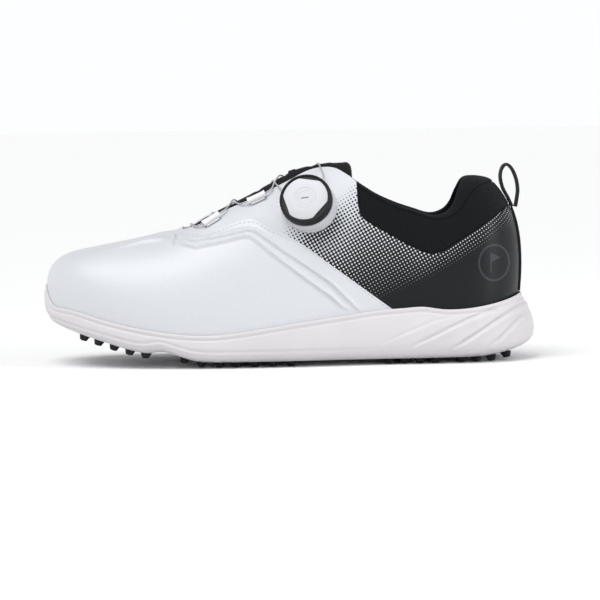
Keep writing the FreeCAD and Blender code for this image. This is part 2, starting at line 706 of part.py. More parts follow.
def ring_of_blocks(body, name, corners, low, high, count, kind="PartDesign::Pad", turn=0.0):
    """Equal teeth round the axis: corners in plan, from one height up to another."""
    sketch = new_sketch(body, "XY_Plane", name + "_plan")
    closed_outline(sketch, corners)
    start = low if kind == "PartDesign::Pad" else high
    sketch.setExpression("AttachmentOffset.Base.z", formula_of(start))
    sketch.AttachmentOffset = Placement(Vector(0, 0, number_of(start)),
                                        Rotation(Vector(0, 0, 1), turn))
    block = body.newObject(kind, name)
    block.Profile = sketch
    block.setExpression("Length", f"({formula_of(high)}) - ({formula_of(low)})")
    doc.recompute()
    ring = body.newObject("PartDesign::PolarPattern", name + "_ring")
    ring.Originals = [block]
    ring.Axis = (plane_of(body, "Z_Axis"), [""])
    ring.Angle = 360
    if isinstance(count, str):
        ring.setExpression("Occurrences", f"Dims.{count}")
    else:
        ring.Occurrences = count
    body.Tip = ring
    doc.recompute()
    return body


def on_reel(piece):
    piece.Placement = REEL
    parts.append(piece)


FRONT_PORT, REAR_PORT = 150.0, 62.0


def with_ports(body, label):
    """The piece with a bore for the lace at each port."""
    bores = []
    for angle in (FRONT_PORT, REAR_PORT):
        bore = doc.addObject("Part::Cylinder", label + "_port")
        bore.setExpression("Radius", "Dims.port_radius")
        bore.Height = 12
        aim = Rotation(Vector(0, 0, 1), angle).multiply(Rotation(Vector(0, 1, 0), 90))
        bore.Placement = Placement(aim.multVec(Vector(0, 0, 8)) + Vector(0, 0, size("port_high")),
                                   aim)
        bores.append(bore)
    tools = doc.addObject("Part::Compound", label + "_ports")
    tools.Links = bores
    drilled = doc.addObject("Part::Cut", label)
    drilled.Base = body
    drilled.Tool = tools
    drilled.Label = label
    return drilled


def make_reel():
    ring = turned("reel_ring_blank", [
        (None, "ring_low"), ("ring_root", "ring_low"), ("ring_root", "ring_low + 5"),
        ("ring_top", "ring_high - 0.5"), ("ring_top - 0.5", "ring_high"),
        ("ring_bore", "ring_high"), ("ring_bore", "ring_floor"), (None, "ring_floor")])
    on_reel(with_ports(ring, "dial_base"))
    cup = turned("reel_cup_blank", [
        (None, "cup_low"), ("cup_outer", "cup_low"), ("cup_outer", "cup_high"),
        ("teeth_root", "cup_high"), ("cup_inner", "cup_floor"), ("post_radius", "cup_floor"),
        ("post_radius", "post_high"), ("pilot_radius", "post_high"),
        ("pilot_radius", "cup_floor + 0.4"), (None, "cup_floor + 0.4")])
    ring_of_blocks(cup, "reel_teeth", [
        ("teeth_root + 0.4", "-tooth_half"), ("teeth_tip", "tooth_half - 0.3"),
        ("teeth_root + 0.4", "tooth_half")], "cup_shelf", "cup_high", "teeth_count")
    on_reel(with_ports(cup, "dial_housing"))
    spool = turned("dial_spool", [
        ("spool_bore", "spool_low"), ("spool_rim", "spool_low"), ("spool_rim", "spool_floor"),
        ("spool_core", "spool_floor"), ("spool_core", "spool_shelf"),
        ("spool_rim", "spool_shelf"), ("spool_rim", "spool_high"), ("spool_bore", "spool_high")])
    dog = [("dog_inner", "-dog_half"), ("dog_outer", "-dog_half"),
           ("dog_outer", "dog_half"), ("dog_inner", "dog_half")]
    ring_of_blocks(spool, "spool_dogs", dog, "spool_high - 0.1", "dog_high", "dog_count")
    on_reel(spool)
    on_reel(turned("lace_on_spool", [
        ("wound_inner", "wound_low"), ("wound_outer", "wound_low"),
        ("wound_outer", "wound_high"), ("wound_inner", "wound_high")]))
    on_reel(turned("dial_screw", [
        (None, "screw_tip"), ("screw_shank", "screw_tip"), ("screw_shank", "screw_seat"),
        ("screw_neck", "screw_seat"), ("screw_neck", "screw_under"),
        ("screw_head", "screw_under"), ("screw_head", "screw_high"), (None, "screw_high")]))
    on_reel(turned("dial_detent_bushing", [
        ("bush_bore", "bush_low"), ("bush_lip", "bush_low"), ("bush_lip", "bush_step"),
        ("bush_outer", "bush_step"), ("bush_outer", "bush_high"), ("bush_bore", "bush_high")]))
    pawls = turned("dial_pawl_disc", [
        ("pawl_bore", "pawl_low"), ("pawl_outer", "pawl_low"), ("pawl_outer", "pawl_high"),
        ("pawl_bore", "pawl_high")])
    ring_of_blocks(pawls, "pawl_dogs", dog, "dog_low", "pawl_low + 0.1", "dog_count", turn=15.0)
    ring_of_blocks(pawls, "pawl_tips", [
        ("pawl_outer - 0.5", "-pawl_half"), ("pawl_outer - 0.2", "pawl_half"),
        ("pawl_tip", "pawl_half - 0.4")], "pawl_low", "pawl_high", "pawl_count")
    on_reel(pawls)
    on_reel(turned("dial_knob_core", [
        ("knob_well", "pawl_high + 0.1"), ("knob_boss", "pawl_high + 0.1"),
        ("knob_boss", "knob_plate"), ("knob_inner", "knob_plate"), ("knob_inner", "knob_low"),
        ("knob_outer", "knob_low"), ("knob_outer", "knob_high"), ("knob_well", "knob_high")]))
    on_reel(turned("dial_grip", [
        ("grip_land", "grip_low"), ("grip_outer - 0.5", "grip_low"),
        ("grip_outer", "grip_low + 0.5"), ("grip_outer", "grip_high - 1.1"),
        ("grip_outer - 1", "grip_high"), ("grip_land", "grip_high")]))
    cap = turned("dial_cap", [
        (None, "cap_low"), ("cap_outer", "cap_low"), ("cap_outer", "cap_rim - 0.4"),
        ("cap_outer - 0.4", "cap_rim"), ("cap_land", "cap_high"), (None, "cap_high")])
    ring_of_blocks(cap, "cap_flats", [
        ("cap_chord", "-cap_outer"), ("cap_outer + 3", "-cap_outer"),
        ("cap_outer + 3", "cap_outer"), ("cap_chord", "cap_outer")],
        "cap_low - 0.5", "cap_high + 0.5", 3, "PartDesign::Pocket", turn=82.0)
    on_reel(cap)


# ---------------------------------------------------------------- lace and its guides
GUIDES = {  # name: (inner side, x of the front end)
    "lace_guide_lateral_1": (False, -50.6), "lace_guide_lateral_2": (False, -23.2),
    "lace_guide_medial_1": (True, -53.2), "lace_guide_medial_2": (True, -25.6),
    "lace_guide_medial_3": (True, 3.0),
}
guide_ends = {}


def wall_frame(u, lift):
    """The wall's point and outward normal."""
    seat = last_point(u, lift, 0)
    along = last_point(u + 0.02, lift, 0) - last_point(u - 0.02, lift, 0)
    up = last_point(u, lift + 0.01, 0) - last_point(u, lift - 0.01, 0)
    normal = along.cross(up).normalize()
    if normal.dot(seat - Vector(seat.x, 0, feather.at(u) + 20)) < 0:
        normal = normal * -1
    return seat, normal


def make_guides():
    drop, run = size("guide_face") / 2 - 0.3, size("guide_length")
    for name, (inner_side, x_front) in GUIDES.items():
        slope = (top_line.at(x_front + run) - top_line.at(x_front)) / run
        x_rear = x_front + run / math.hypot(1, slope)
        ends = []
        for x in (x_front, x_rear):
            u, lift = locate(x, top_line.at(x) - drop, inner_side)
            ends.append(last_point(u, lift, 0))
        middle = (x_front + x_rear) / 2
        seat, normal = wall_frame(*locate(middle, top_line.at(middle) - drop, inner_side))
        axis = (ends[1] - ends[0]).normalize()
        normal = (normal - axis * normal.dot(axis)).normalize()
        across = normal.cross(axis)
        seat = seat + normal * 0.5
        place = Placement(seat, Rotation(axis, across, normal, "XYZ"))
        block = bound_box(name + "_block", ("guide_length", "guide_face", "guide_depth"),
                          size("guide_round"), place)
        bore = doc.addObject("Part::Cylinder", name + "_bore")
        bore.setExpression("Radius", "Dims.guide_bore / 2")
        bore.Height = run + 4
        centre = seat + normal * (size("guide_depth") / 2)
        bore.Placement = Placement(centre - axis * (run / 2 + 2), Rotation(Vector(0, 0, 1), axis))
        guide = doc.addObject("Part::Cut", name)
        guide.Base = block
        guide.Tool = bore
        guide.Label = name
        parts.append(guide)
        beyond = run / 2 + 4.4
        guide_ends[name] = (centre - axis * beyond, centre + axis * beyond)


def crossing(x_start, x_end, from_outer, side_depth, middle_depth, half_width=12.5):
    """Three points where the lace passes over the tongue, from one facing to the other."""
    sign = -1 if from_outer else 1
    points = []
    for share, width, depth in ((0.18, half_width, side_depth), (0.5, 0.0, middle_depth),
                                (0.82, -half_width, side_depth)):
        x = x_start + (x_end - x_start) * share
        u = bisect(lambda s: spine_x.at(s) < x, 3.0, 9.0)
        lift = lift_at_width(u, abs(width), depth) if width else UPRIGHT
        side = 1 if sign * width <= 0 else -1
        points.append(last_point(side * u, lift, depth))
    return points


def lace_route():
    reel = {}
    for name, angle in (("front", FRONT_PORT), ("rear", REAR_PORT)):
        aim = Vector(math.cos(math.radians(angle)), math.sin(math.radians(angle)), 0)
        reel[name] = [REEL.multVec(aim * reach + Vector(0, 0, size("port_high") + rise))
                      for reach, rise in ((10.2, 0.0), (19.5, 0.5))]
    outer_1, outer_2 = guide_ends["lace_guide_lateral_1"], guide_ends["lace_guide_lateral_2"]
    inner_1, inner_2 = guide_ends["lace_guide_medial_1"], guide_ends["lace_guide_medial_2"]
    inner_3 = guide_ends["lace_guide_medial_3"]
    route = list(reel["front"])
    route += crossing(-7.5, -10.5, True, 0.1, 0.7) + [inner_2[1], inner_2[0]]
    route += crossing(-29.5, -37.5, False, -0.1, -0.4) + [outer_1[1], outer_1[0]]
    route += crossing(-58.5, -58.5, True, -0.3, 0.4, 8.0) + [inner_1[0], inner_1[1]]
    route += crossing(-37.5, -29.5, False, 0.8, 1.2) + [outer_2[0], outer_2[1]]
    route += crossing(-10.5, 0.5, True, 0.1, -0.4) + [inner_3[0], inner_3[1]]
    route += crossing(18.6, 19.0, False, -0.8, 0.1, 6.5)
    return route + reel["rear"][::-1]


def rounded_path(route):
    """Straight runs joined by tangent arcs as large as the runs allow."""
    edges, radii = [], []
    start = route[0]
    for before, corner, after in zip(route, route[1:], route[2:]):
        arriving, leaving = (corner - before), (after - corner)
        run = min(arriving.Length, leaving.Length)
        turn = arriving.getAngle(leaving)
        trim = 0.45 * run
        radii.append(trim / math.tan(turn / 2))
        first = corner - arriving.normalize() * trim
        last = corner + leaving.normalize() * trim
        towards = ((first + last) * 0.5 - corner).normalize()
        bow = radii[-1] / math.cos(turn / 2) - radii[-1]
        edges.append(Part.LineSegment(start, first).toShape())
        edges.append(Part.Arc(first, corner + towards * bow, last).toShape())
        start = last
    edges.append(Part.LineSegment(start, route[-1]).toShape())
    return Part.Wire(edges), radii


def make_lace():
    path, radii = rounded_path(lace_route())
    start = path.Edges[0]
    ring = Part.Wire(Part.makeCircle(size("lace_width") / 2, start.valueAt(0),
                                     start.tangentAt(0)))
    tube = path.makePipeShell([ring], True, False)
    expected = math.pi * size("lace_width") ** 2 / 4 * path.Length
    print(f"lace {path.Length:.1f} mm, tightest arc {min(radii):.2f} mm,",
          f"volume {tube.Volume:.1f} against {expected:.1f}")
    add_shape("lace", tube)


# ---------------------------------------------------------------- build, check, export
FOREFOOT_ROWS = (-123.5, -114.5, -105, -95.5, -86, -62.5, -52.5, -42, -31.5, -21, -10, 1)
HEEL_ROWS = (60, 69, 78.5, 88, 104, 113, 122, 131.5)

make_outsole()
make_studs("studs_forefoot", FOREFOOT_ROWS, 15.0)
make_studs("studs_heel", HEEL_ROWS, 14.0)
make_midsole()
make_bottoming()
make_vamp()
make_quarters()
make_linings()
tongue_depth = make_tongue()
make_keeper(tongue_depth)
make_heel_trim()
make_reel()
make_guides()
make_lace()
doc.recompute()

for item in doc.Objects:
    if {"Invalid", "Error"} & set(item.State):
        raise RuntimeError(f"{item.Label} failed: {item.State}")
os.makedirs("parts", exist_ok=True)
for piece in parts:
    shape = piece.Shape
    if shape.isNull() or not shape.isValid() or shape.Volume <= 0:
        raise RuntimeError(f"{piece.Label} isn't a valid solid")
    shape.exportStep(os.path.join("parts", piece.Label + ".step"))
    box = shape.BoundBox
    print(f"{piece.Label:26s} {len(shape.Solids):3d} {shape.Volume:10.1f} mm3",
          f"x {box.XMin:7.1f} {box.XMax:7.1f}  y {box.YMin:6.1f} {box.YMax:6.1f}",
          f" z {box.ZMin:6.1f} {box.ZMax:6.1f}")
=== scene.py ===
# %% [markdown]
# # A golf shoe that closes with a reel
#
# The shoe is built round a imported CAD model, which holds every size, joint and hidden layer.
# This lesson gives it its looks: leather, knit, moulded foam, webbing and plastic. All lengths
# below are written in millimetres, as a shoe maker would, and MM turns them into metres.

# %% Load the frame
import json
import math

import bmesh
import bpy
import numpy as np
from mathutils import Matrix, Vector


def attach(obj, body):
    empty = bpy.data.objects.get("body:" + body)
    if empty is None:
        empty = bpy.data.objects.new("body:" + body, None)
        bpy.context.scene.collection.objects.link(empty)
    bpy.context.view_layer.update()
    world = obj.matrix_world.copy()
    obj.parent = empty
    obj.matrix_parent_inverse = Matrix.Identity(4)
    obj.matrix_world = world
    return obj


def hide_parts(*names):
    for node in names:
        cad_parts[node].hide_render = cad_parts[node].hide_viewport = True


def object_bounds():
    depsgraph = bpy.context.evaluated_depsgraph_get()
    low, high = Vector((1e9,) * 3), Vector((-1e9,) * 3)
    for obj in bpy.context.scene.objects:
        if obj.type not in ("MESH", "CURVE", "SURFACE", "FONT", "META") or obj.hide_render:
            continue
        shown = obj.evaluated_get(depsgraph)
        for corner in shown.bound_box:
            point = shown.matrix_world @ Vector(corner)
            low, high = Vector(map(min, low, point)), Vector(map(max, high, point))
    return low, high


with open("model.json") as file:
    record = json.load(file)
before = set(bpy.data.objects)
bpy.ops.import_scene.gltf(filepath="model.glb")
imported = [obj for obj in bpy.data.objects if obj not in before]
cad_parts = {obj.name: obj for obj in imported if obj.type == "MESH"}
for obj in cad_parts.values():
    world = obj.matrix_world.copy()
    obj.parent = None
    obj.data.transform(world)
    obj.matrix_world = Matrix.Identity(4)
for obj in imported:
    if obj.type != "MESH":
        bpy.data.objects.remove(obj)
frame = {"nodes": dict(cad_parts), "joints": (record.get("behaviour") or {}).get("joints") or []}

MM = 0.001
cad_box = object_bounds()
nodes = frame["nodes"]

# %% [markdown]
# ## Camera
#
# The shoe is seen from its outer side, from just above the floor, through a long lens that
# keeps toe and heel the same size. The camera is rolled by less than a degree, because a
# shoe's tread isn't level.

# %% Camera
FRAME_WIDTH = 368.1
SENSOR = 36.0
DISTANCE = 1600.0
ELEVATION = math.radians(4.0)
ROLL = math.radians(0.716)
AIM = Vector((6.7, 0.0, 36.9))


def make_camera():
    data = bpy.data.cameras.new("camera")
    data.sensor_width = SENSOR
    data.lens = SENSOR * DISTANCE / FRAME_WIDTH
    camera = bpy.data.objects.new("camera", data)
    bpy.context.scene.collection.objects.link(camera)
    back = Vector((0, -math.cos(ELEVATION), math.sin(ELEVATION)))
    turned = Matrix.Rotation(math.pi / 2 - ELEVATION, 4, "X") @ Matrix.Rotation(-ROLL, 4, "Z")
    camera.matrix_world = Matrix.Translation((AIM + back * DISTANCE) * MM) @ turned
    bpy.context.scene.camera = camera
    return camera


print("lens", round(make_camera().data.lens, 1), "mm")

# %% [markdown]
# ## Shader maths as Python
#
# A finish is a small network of nodes. Wire wraps one socket, so that `1 - mask` or
# `wave * 0.5` adds the Math node it needs. Finish keeps one material, makes every other
# node through one method, and feeds its Principled shader.

# %% Wire and Finish


class Wire:
    """One output socket that answers to Python's arithmetic."""

    def __init__(self, finish, socket):
        self.finish = finish
        self.socket = socket

    def math(self, operation, *terms):
        return self.finish.math_of(operation, *terms)

    def __add__(self, other):
        return self.math("ADD", self, other)

    def __sub__(self, other):
        return self.math("SUBTRACT", self, other)

    def __rsub__(self, other):
        return self.math("SUBTRACT", other, self)

    def __mul__(self, other):
        return self.math("MULTIPLY", self, other)

    def __gt__(self, other):
        return self.math("GREATER_THAN", self, other)

    def __abs__(self):
        return self.math("ABSOLUTE", self)

    __radd__ = __add__
    __rmul__ = __mul__

    def cos(self):
        return self.math("COSINE", self)

    def over(self, other):
        return self.math("MAXIMUM", self, other)

    def under(self, other):
        return self.math("MINIMUM", self, other)

    def ramp(self, low, high):
        """0 below low, 1 above high and a smooth step between."""
        settings = {"interpolation_type": "SMOOTHSTEP"}
        return self.finish.node("ShaderNodeMapRange", settings, {0: self, 1: low, 2: high})

    def part(self, name):
        """Another output of the same node."""
        return Wire(self.finish, self.socket.node.outputs[name])


class Finish:
    """One procedural material round a Principled shader."""

    def __init__(self, name, **constants):
        self.material = bpy.data.materials.new(name)
        self.material.use_nodes = True
        self.tree = self.material.node_tree
        self.shader = self.tree.nodes["Principled BSDF"]
        for socket, value in constants.items():
            self.shader.inputs[socket.replace("_", " ")].default_value = value

    def node(self, kind, settings=None, inputs=None):
        made = self.tree.nodes.new(kind)
        for key, value in (settings or {}).items():
            setattr(made, key, value)
        for key, value in (inputs or {}).items():
            self.feed(made.inputs[key], value)
        return Wire(self, next(socket for socket in made.outputs if socket.enabled))

    def feed(self, socket, value):
        if isinstance(value, Wire):
            self.tree.links.new(value.socket, socket)
        else:
            socket.default_value = value

    def place(self):
        """Where a point is on the object, in metres."""
        return self.node("ShaderNodeTexCoord").part("Object")

    def axes(self, vector, scale=1.0):
        """The three numbers of a vector, each times scale."""
        split = self.node("ShaderNodeSeparateXYZ", None, {0: vector})
        return [split.part(axis) * scale for axis in "XYZ"]

    def math_of(self, operation, *terms):
        return self.node("ShaderNodeMath", {"operation": operation}, dict(enumerate(terms)))

    def noise(self, vector, scale, detail=3.0):
        return self.node("ShaderNodeTexNoise", None,
                         {"Vector": vector, "Scale": scale, "Detail": detail})

    def pebbles(self, vector, scale):
        """The distance to the middle of the nearest cell, as in fine grain."""
        return self.node("ShaderNodeTexVoronoi", None, {"Vector": vector, "Scale": scale})

    def tint(self, mask, low, high):
        """low where mask is 0, high where it is 1; both are colours or wires."""
        ends = [c if isinstance(c, Wire) else (*c, 1.0) for c in (low, high)]
        return self.node("ShaderNodeMix", {"data_type": "RGBA"}, {0: mask, 6: ends[0], 7: ends[1]})

    def relief(self, height, depth, strength=1.0):
        """Feeds a bump of that depth in metres to the normal."""
        bump = self.node("ShaderNodeBump", None,
                         {"Height": height, "Distance": depth, "Strength": strength})
        self.feed(self.shader.inputs["Normal"], bump)

    def show(self, **sockets):
        for name, value in sockets.items():
            self.feed(self.shader.inputs[name.replace("_", " ")], value)
        return self.material


print("wires and finishes are ready")

# %% [markdown]
# ## Light
#
# One very soft lamp high on the toe side models the shoe. It is a sun, so the floor stays
# evenly bright to the horizon. The world is white near the horizon, where it is the backdrop,
# and greyer overhead, so the lamp has something to do. A narrow strip lights the heel.

# %% Lamps and world


def make_lamp(name, kind, direction, energy, **settings):
    data = bpy.data.lights.new(name, kind)
    data.energy = energy
    for key, value in settings.items():
        setattr(data, key, value)
    lamp = bpy.data.objects.new(name, data)
    bpy.context.scene.collection.objects.link(lamp)
    lamp.location = direction
    lamp.rotation_euler = Vector(direction).to_track_quat("Z", "Y").to_euler()


def make_world():
    world = bpy.data.worlds.new("studio")
    world.use_nodes = True
    sky = Finish.__new__(Finish)
    sky.tree = world.node_tree
    _, _, height = sky.axes(sky.node("ShaderNodeTexCoord").part("Generated"))
    colour = sky.tint(height.ramp(0.16, 0.55), (0.985, 0.99, 1.0), (0.40, 0.405, 0.41))
    sky.feed(world.node_tree.nodes["Background"].inputs["Color"], colour)
    bpy.context.scene.world = world


make_lamp("high_softbox", "SUN", (-0.35, -0.42, 1.0), 2.15, angle=math.radians(48))
make_lamp("heel_strip", "AREA", (0.85, -0.42, 0.42), 3.2, shape="RECTANGLE", size=0.12,
          size_y=0.9)
make_world()
bpy.context.scene.view_settings.view_transform = "Standard"

# %% [markdown]
# ## The last
#
# A shoe is pulled over a last, and every layer of the upper is that one surface, a little
# further in or out. So one formula gives it: fourteen stations from toe tip to heel back,
# each with its outline, the height of the feather edge where the sole begins, the point on
# the spine above, and how the wall leans, squares and bulges between them. The same table
# shaped the CAD layers, so anything placed by it fits them.

# %% Stations
STATIONS = [
    # outer x, y       inner x, y       feather  spine x, z       lean  shoulder  bulge
    (-146.5, 0.0,      -146.5, 0.0,      32.0,   -112.0, 70.0,    0.00, 5.2, 0.020),
    (-142.5, -14.5,    -145.0, 15.0,     31.8,   -110.0, 70.3,    0.00, 5.0, 0.020),
    (-131.0, -29.0,    -136.0, 30.5,     29.0,   -104.0, 71.8,    0.02, 4.4, 0.030),
    (-110.0, -41.0,    -115.0, 42.5,     23.3,   -91.0, 74.7,     0.06, 3.6, 0.040),
    (-80.0, -48.5,     -85.0, 48.5,      17.0,   -68.0, 79.5,     0.10, 3.2, 0.050),
    (-50.0, -51.5,     -55.0, 49.0,      13.0,   -50.0, 90.6,     0.18, 3.4, 0.050),
    (-23.0, -51.5,     -26.0, 45.0,      12.5,   -24.0, 103.6,    0.32, 5.0, 0.050),
    (6.0, -48.5,       5.0, 39.5,        15.0,   5.0, 117.6,      0.42, 7.0, 0.050),
    (36.0, -43.5,      35.0, 35.5,       18.0,   35.0, 122.7,     0.42, 7.0, 0.050),
    (65.0, -40.0,      65.0, 34.5,       21.0,   60.0, 126.0,     0.30, 5.0, 0.050),
    (95.0, -37.0,      95.0, 35.0,       23.0,   80.0, 125.0,     0.20, 4.0, 0.050),
    (118.0, -31.5,     118.0, 31.0,      24.0,   91.0, 123.0,     0.10, 4.0, 0.060),
    (132.5, -18.5,     132.5, 19.0,      24.5,   95.0, 121.5,     0.03, 4.2, 0.075),
    (138.5, 0.0,       138.5, 0.0,       25.0,   96.0, 121.0,     0.00, 4.2, 0.080),
]
# The sole at the same stations: tuck of its lower edge, fullest line, lip, how far up the
# wall the fullest line is, and the height of the lip.
SOLE_STATIONS = [
    (9.0, 3.5, 2.2, 0.75, 49.0), (8.0, 3.6, 2.2, 0.70, 38.5), (7.0, 3.8, 2.4, 0.60, 35.2),
    (6.0, 4.0, 2.6, 0.55, 29.3), (5.0, 4.2, 2.8, 0.50, 22.8), (5.0, 4.2, 2.8, 0.50, 20.0),
    (5.0, 4.0, 2.8, 0.50, 22.4), (5.0, 4.0, 2.6, 0.50, 26.7), (5.0, 4.2, 2.4, 0.50, 30.7),
    (5.0, 4.6, 2.2, 0.48, 33.8), (5.0, 5.2, 2.2, 0.46, 32.7), (5.5, 6.8, 2.4, 0.44, 34.8),
    (6.0, 9.6, 2.8, 0.43, 38.4), (6.0, 11.4, 3.1, 0.42, 40.7),
]
HEEL = len(STATIONS) - 1
HEEL_END = HEEL - 0.02
AROUND = 2 * HEEL
UPRIGHT = math.pi / 2


class Loop:
    """A smooth closed curve of one value round the stations."""

    def __init__(self, outer, inner=None):
        inner = outer if inner is None else inner
        self.values = np.array(list(outer) + list(inner[-2:0:-1]))
        rise = 3 * (np.roll(self.values, -1) - np.roll(self.values, 1))
        self.slopes = np.zeros(AROUND)
        for _ in range(40):
            beside = np.roll(self.slopes, 1) + np.roll(self.slopes, -1)
            self.slopes = (rise - beside) / 4

    def at(self, u):
        cell = np.floor(u).astype(int)
        f = u - cell
        i, j = cell % AROUND, (cell + 1) % AROUND
        start = self.values[i] * (1 + 2 * f) + self.slopes[i] * f
        end = self.values[j] * (3 - 2 * f) - self.slopes[j] * (1 - f)
        return start * (1 - f) ** 2 + end * f * f


class Curve:
    """A smooth height over x through a few points, level past its ends."""

    def __init__(self, *points):
        self.x, self.z = np.array(points, float).T
        before = np.maximum(np.arange(len(self.x)) - 1, 0)
        after = np.minimum(np.arange(len(self.x)) + 1, len(self.x) - 1)
        self.slopes = (self.z[after] - self.z[before]) / (self.x[after] - self.x[before])

    def at(self, x):
        x = np.clip(x, self.x[0], self.x[-1])
        i = np.clip(np.searchsorted(self.x, x, side="right") - 1, 0, len(self.x) - 2)
        run = self.x[i + 1] - self.x[i]
        f = (x - self.x[i]) / run
        start = self.z[i] * (1 + 2 * f) + self.slopes[i] * run * f
        end = self.z[i + 1] * (3 - 2 * f) - self.slopes[i + 1] * run * (1 - f)
        return start * (1 - f) ** 2 + end * f * f


columns = list(zip(*STATIONS))
plan_x = Loop(columns[0], columns[2])
plan_y = Loop(columns[1], columns[3])
feather, spine_x, spine_z, lean, shoulder, bulge = [Loop(column) for column in columns[4:]]
tuck, fullest, lip, full_at, lip_height = [Loop(column) for column in zip(*SOLE_STATIONS)]
print("stations:", len(STATIONS), "feather edge from", min(columns[4]), "to", max(columns[4]), "mm")

# %% [markdown]
# A few more curves say where the layers end, as seen from the side: the line of the topmost
# edge, the overlay's edge along the throat, and the seam between knit and leather.

# %% Edges of the layers
ground_line = Curve((-140, 25.2), (-126, 19.8), (-110, 15), (-95, 10.8), (-85, 9.1), (-75, 10.0),
                    (-66, 7.2), (-57, 4.5), (-47, 3.5), (-38, 3.4), (0, 3.4), (110, 3.4),
                    (122, 3.7), (132, 5.0), (140, 7.4))
top_line = Curve((-66, 81), (-58, 83.4), (-50.9, 85.8), (-40.5, 92), (-26.4, 98), (-12.3, 104.3),
                 (-7.4, 106.8), (2, 111.4), (11, 116), (19, 118.2), (28, 118.1), (35.5, 114.3),
                 (44.2, 108), (54.8, 101.2), (66.5, 95.9), (78.2, 92), (87.6, 89.2), (93.9, 89.6),
                 (100.1, 92.6), (104.8, 98), (108, 104), (112.7, 109.5), (118.2, 111.8),
                 (126, 112.6))
foam_line = Curve((40, 86), (65, 73), (88, 66), (105, 74), (120, 79), (140, 79))
overlay_edge = Curve((-67.5, 84.6), (-64.5, 81.2), (-59.1, 80.3), (-50.9, 79.5), (-41.5, 82.1),
                     (-29.8, 86.2), (-23.9, 87.4), (-19.2, 86.7), (-13.4, 83.3), (-2.8, 78.6),
                     (9.7, 71.4), (24.8, 60.4), (39.9, 49.4), (55, 38.4), (70, 27.5))
collar_edge = Curve((41.8, 100), (43.2, 90.6), (50.9, 83.8), (62.6, 76.9), (73.6, 70.6),
                    (84.5, 66.4), (90.7, 66.7), (101.7, 73), (113.4, 80), (125.2, 87.6),
                    (134, 93.6), (140, 97.5))
THROAT = 4.2


def outline(u, depth):
    """Points of the plan outline, moved inwards by depth."""
    x, y, middle = plan_x.at(u), plan_y.at(u), spine_x.at(u)
    run = np.stack([plan_x.at(u + 0.02) - plan_x.at(u - 0.02),
                    plan_y.at(u + 0.02) - plan_y.at(u - 0.02)])
    run = run / np.hypot(*run)
    inward = np.stack([middle - x, -y])
    inward = inward / np.hypot(*inward)
    square = np.abs(run[0] * inward[1] - run[1] * inward[0])
    return x + inward[0] * depth / square, y + inward[1] * depth / square


def last_point(u, lift, depth=0.0):
    """Points of the upper: lift runs from 0 at the feather edge to a right angle on the spine."""
    up = np.sin(lift)
    x, y = outline(u, depth)
    middle = spine_x.at(u)
    reach = (1 - lean.at(u) * up) * np.sqrt(np.maximum(0.0, 1 - up ** shoulder.at(u)))
    reach = reach * (1 + 4 * bulge.at(u) * up * (1 - up))
    low, high = feather.at(u), spine_z.at(u) - depth
    return np.stack([middle + (x - middle) * reach, y * reach, low + (high - low) * up], -1)


def lift_at(u, z, depth=0.0):
    """The lift at which the wall reaches a height."""
    share = (z - feather.at(u)) / (spine_z.at(u) - depth - feather.at(u))
    return np.arcsin(np.clip(share, 0.0, 1.0))


def bisect(test, low, high):
    """Where test changes from true to false, for whole arrays at once."""
    for _ in range(32):
        middle = (low + high) / 2
        passed = test(middle)
        low, high = np.where(passed, middle, low), np.where(passed, high, middle)
    return low


def lift_to(u, line, depth=0.0, above=0.0):
    """The lift at which the wall meets a height line."""
    def below(lift):
        point = last_point(u, lift, depth)
        return point[..., 2] < line.at(point[..., 0]) + above
    return bisect(below, np.zeros_like(u), np.full_like(u, UPRIGHT))


def locate(x, z, inner_side=False):
    """Station and lift of the wall points seen at x and z from the side."""
    x, z = np.atleast_1d(np.asarray(x, float)), np.atleast_1d(np.asarray(z, float))

    def ahead(u):
        return last_point(u, lift_at(u, z))[..., 0] < x
    u = bisect(ahead, np.full_like(x, 1.0), np.full_like(x, HEEL_END))
    return (AROUND - u if inner_side else u), lift_at(u, z)


def outward(u, lift):
    """The unit normal of the last."""
    run = last_point(u + 0.01, lift) - last_point(u - 0.01, lift)
    rise = last_point(u, lift + 0.005) - last_point(u, lift - 0.005)
    normal = np.cross(run, rise)
    return normal / np.linalg.norm(normal, axis=-1, keepdims=True)


tip = last_point(np.array([0.0]), np.array([0.6]))[0]
print("the last is", round(float(columns[0][-1] - columns[0][0])), "mm long; toe wall at", tip.round(1))

# %% [markdown]
# ## From a flat grid to a fitted sheet
#
# Leather, knit and foam are sheets, so most pieces start as bmesh's flat grid, which is then
# bent: each corner moves to where a function of its share along and across says. The grid's
# own UV map stays with it, so a weave can follow the sheet. Pieces of the same kind share
# one way of becoming an object that rides on the frame.

# %% Helpers for pieces
WELD = 0.004 * MM
CUT_EDGE_ANGLE = math.radians(50)


def bent_grid(columns, rows, place, weld=False):
    """A grid bent so that a corner's shares (s, t) land on place(s, t)."""
    bm = bmesh.new()
    bm.loops.layers.uv.new("weave")
    bmesh.ops.create_grid(bm, x_segments=columns, y_segments=rows, size=1, calc_uvs=True)
    share = (np.array([v.co for v in bm.verts])[:, :2] + 1) / 2
    for v, point in zip(bm.verts, place(share[:, 0], share[:, 1]) * MM):
        v.co = point
    if weld:
        bmesh.ops.remove_doubles(bm, verts=bm.verts, dist=WELD)
    return bm


def face_outwards(bm):
    bmesh.ops.recalc_face_normals(bm, faces=bm.faces)
    return bm


def round_edges(bm, edges, width, segments):
    bmesh.ops.bevel(bm, geom=list(edges), offset=width * MM, segments=segments, profile=0.5,
                    affect="EDGES", material=-1)


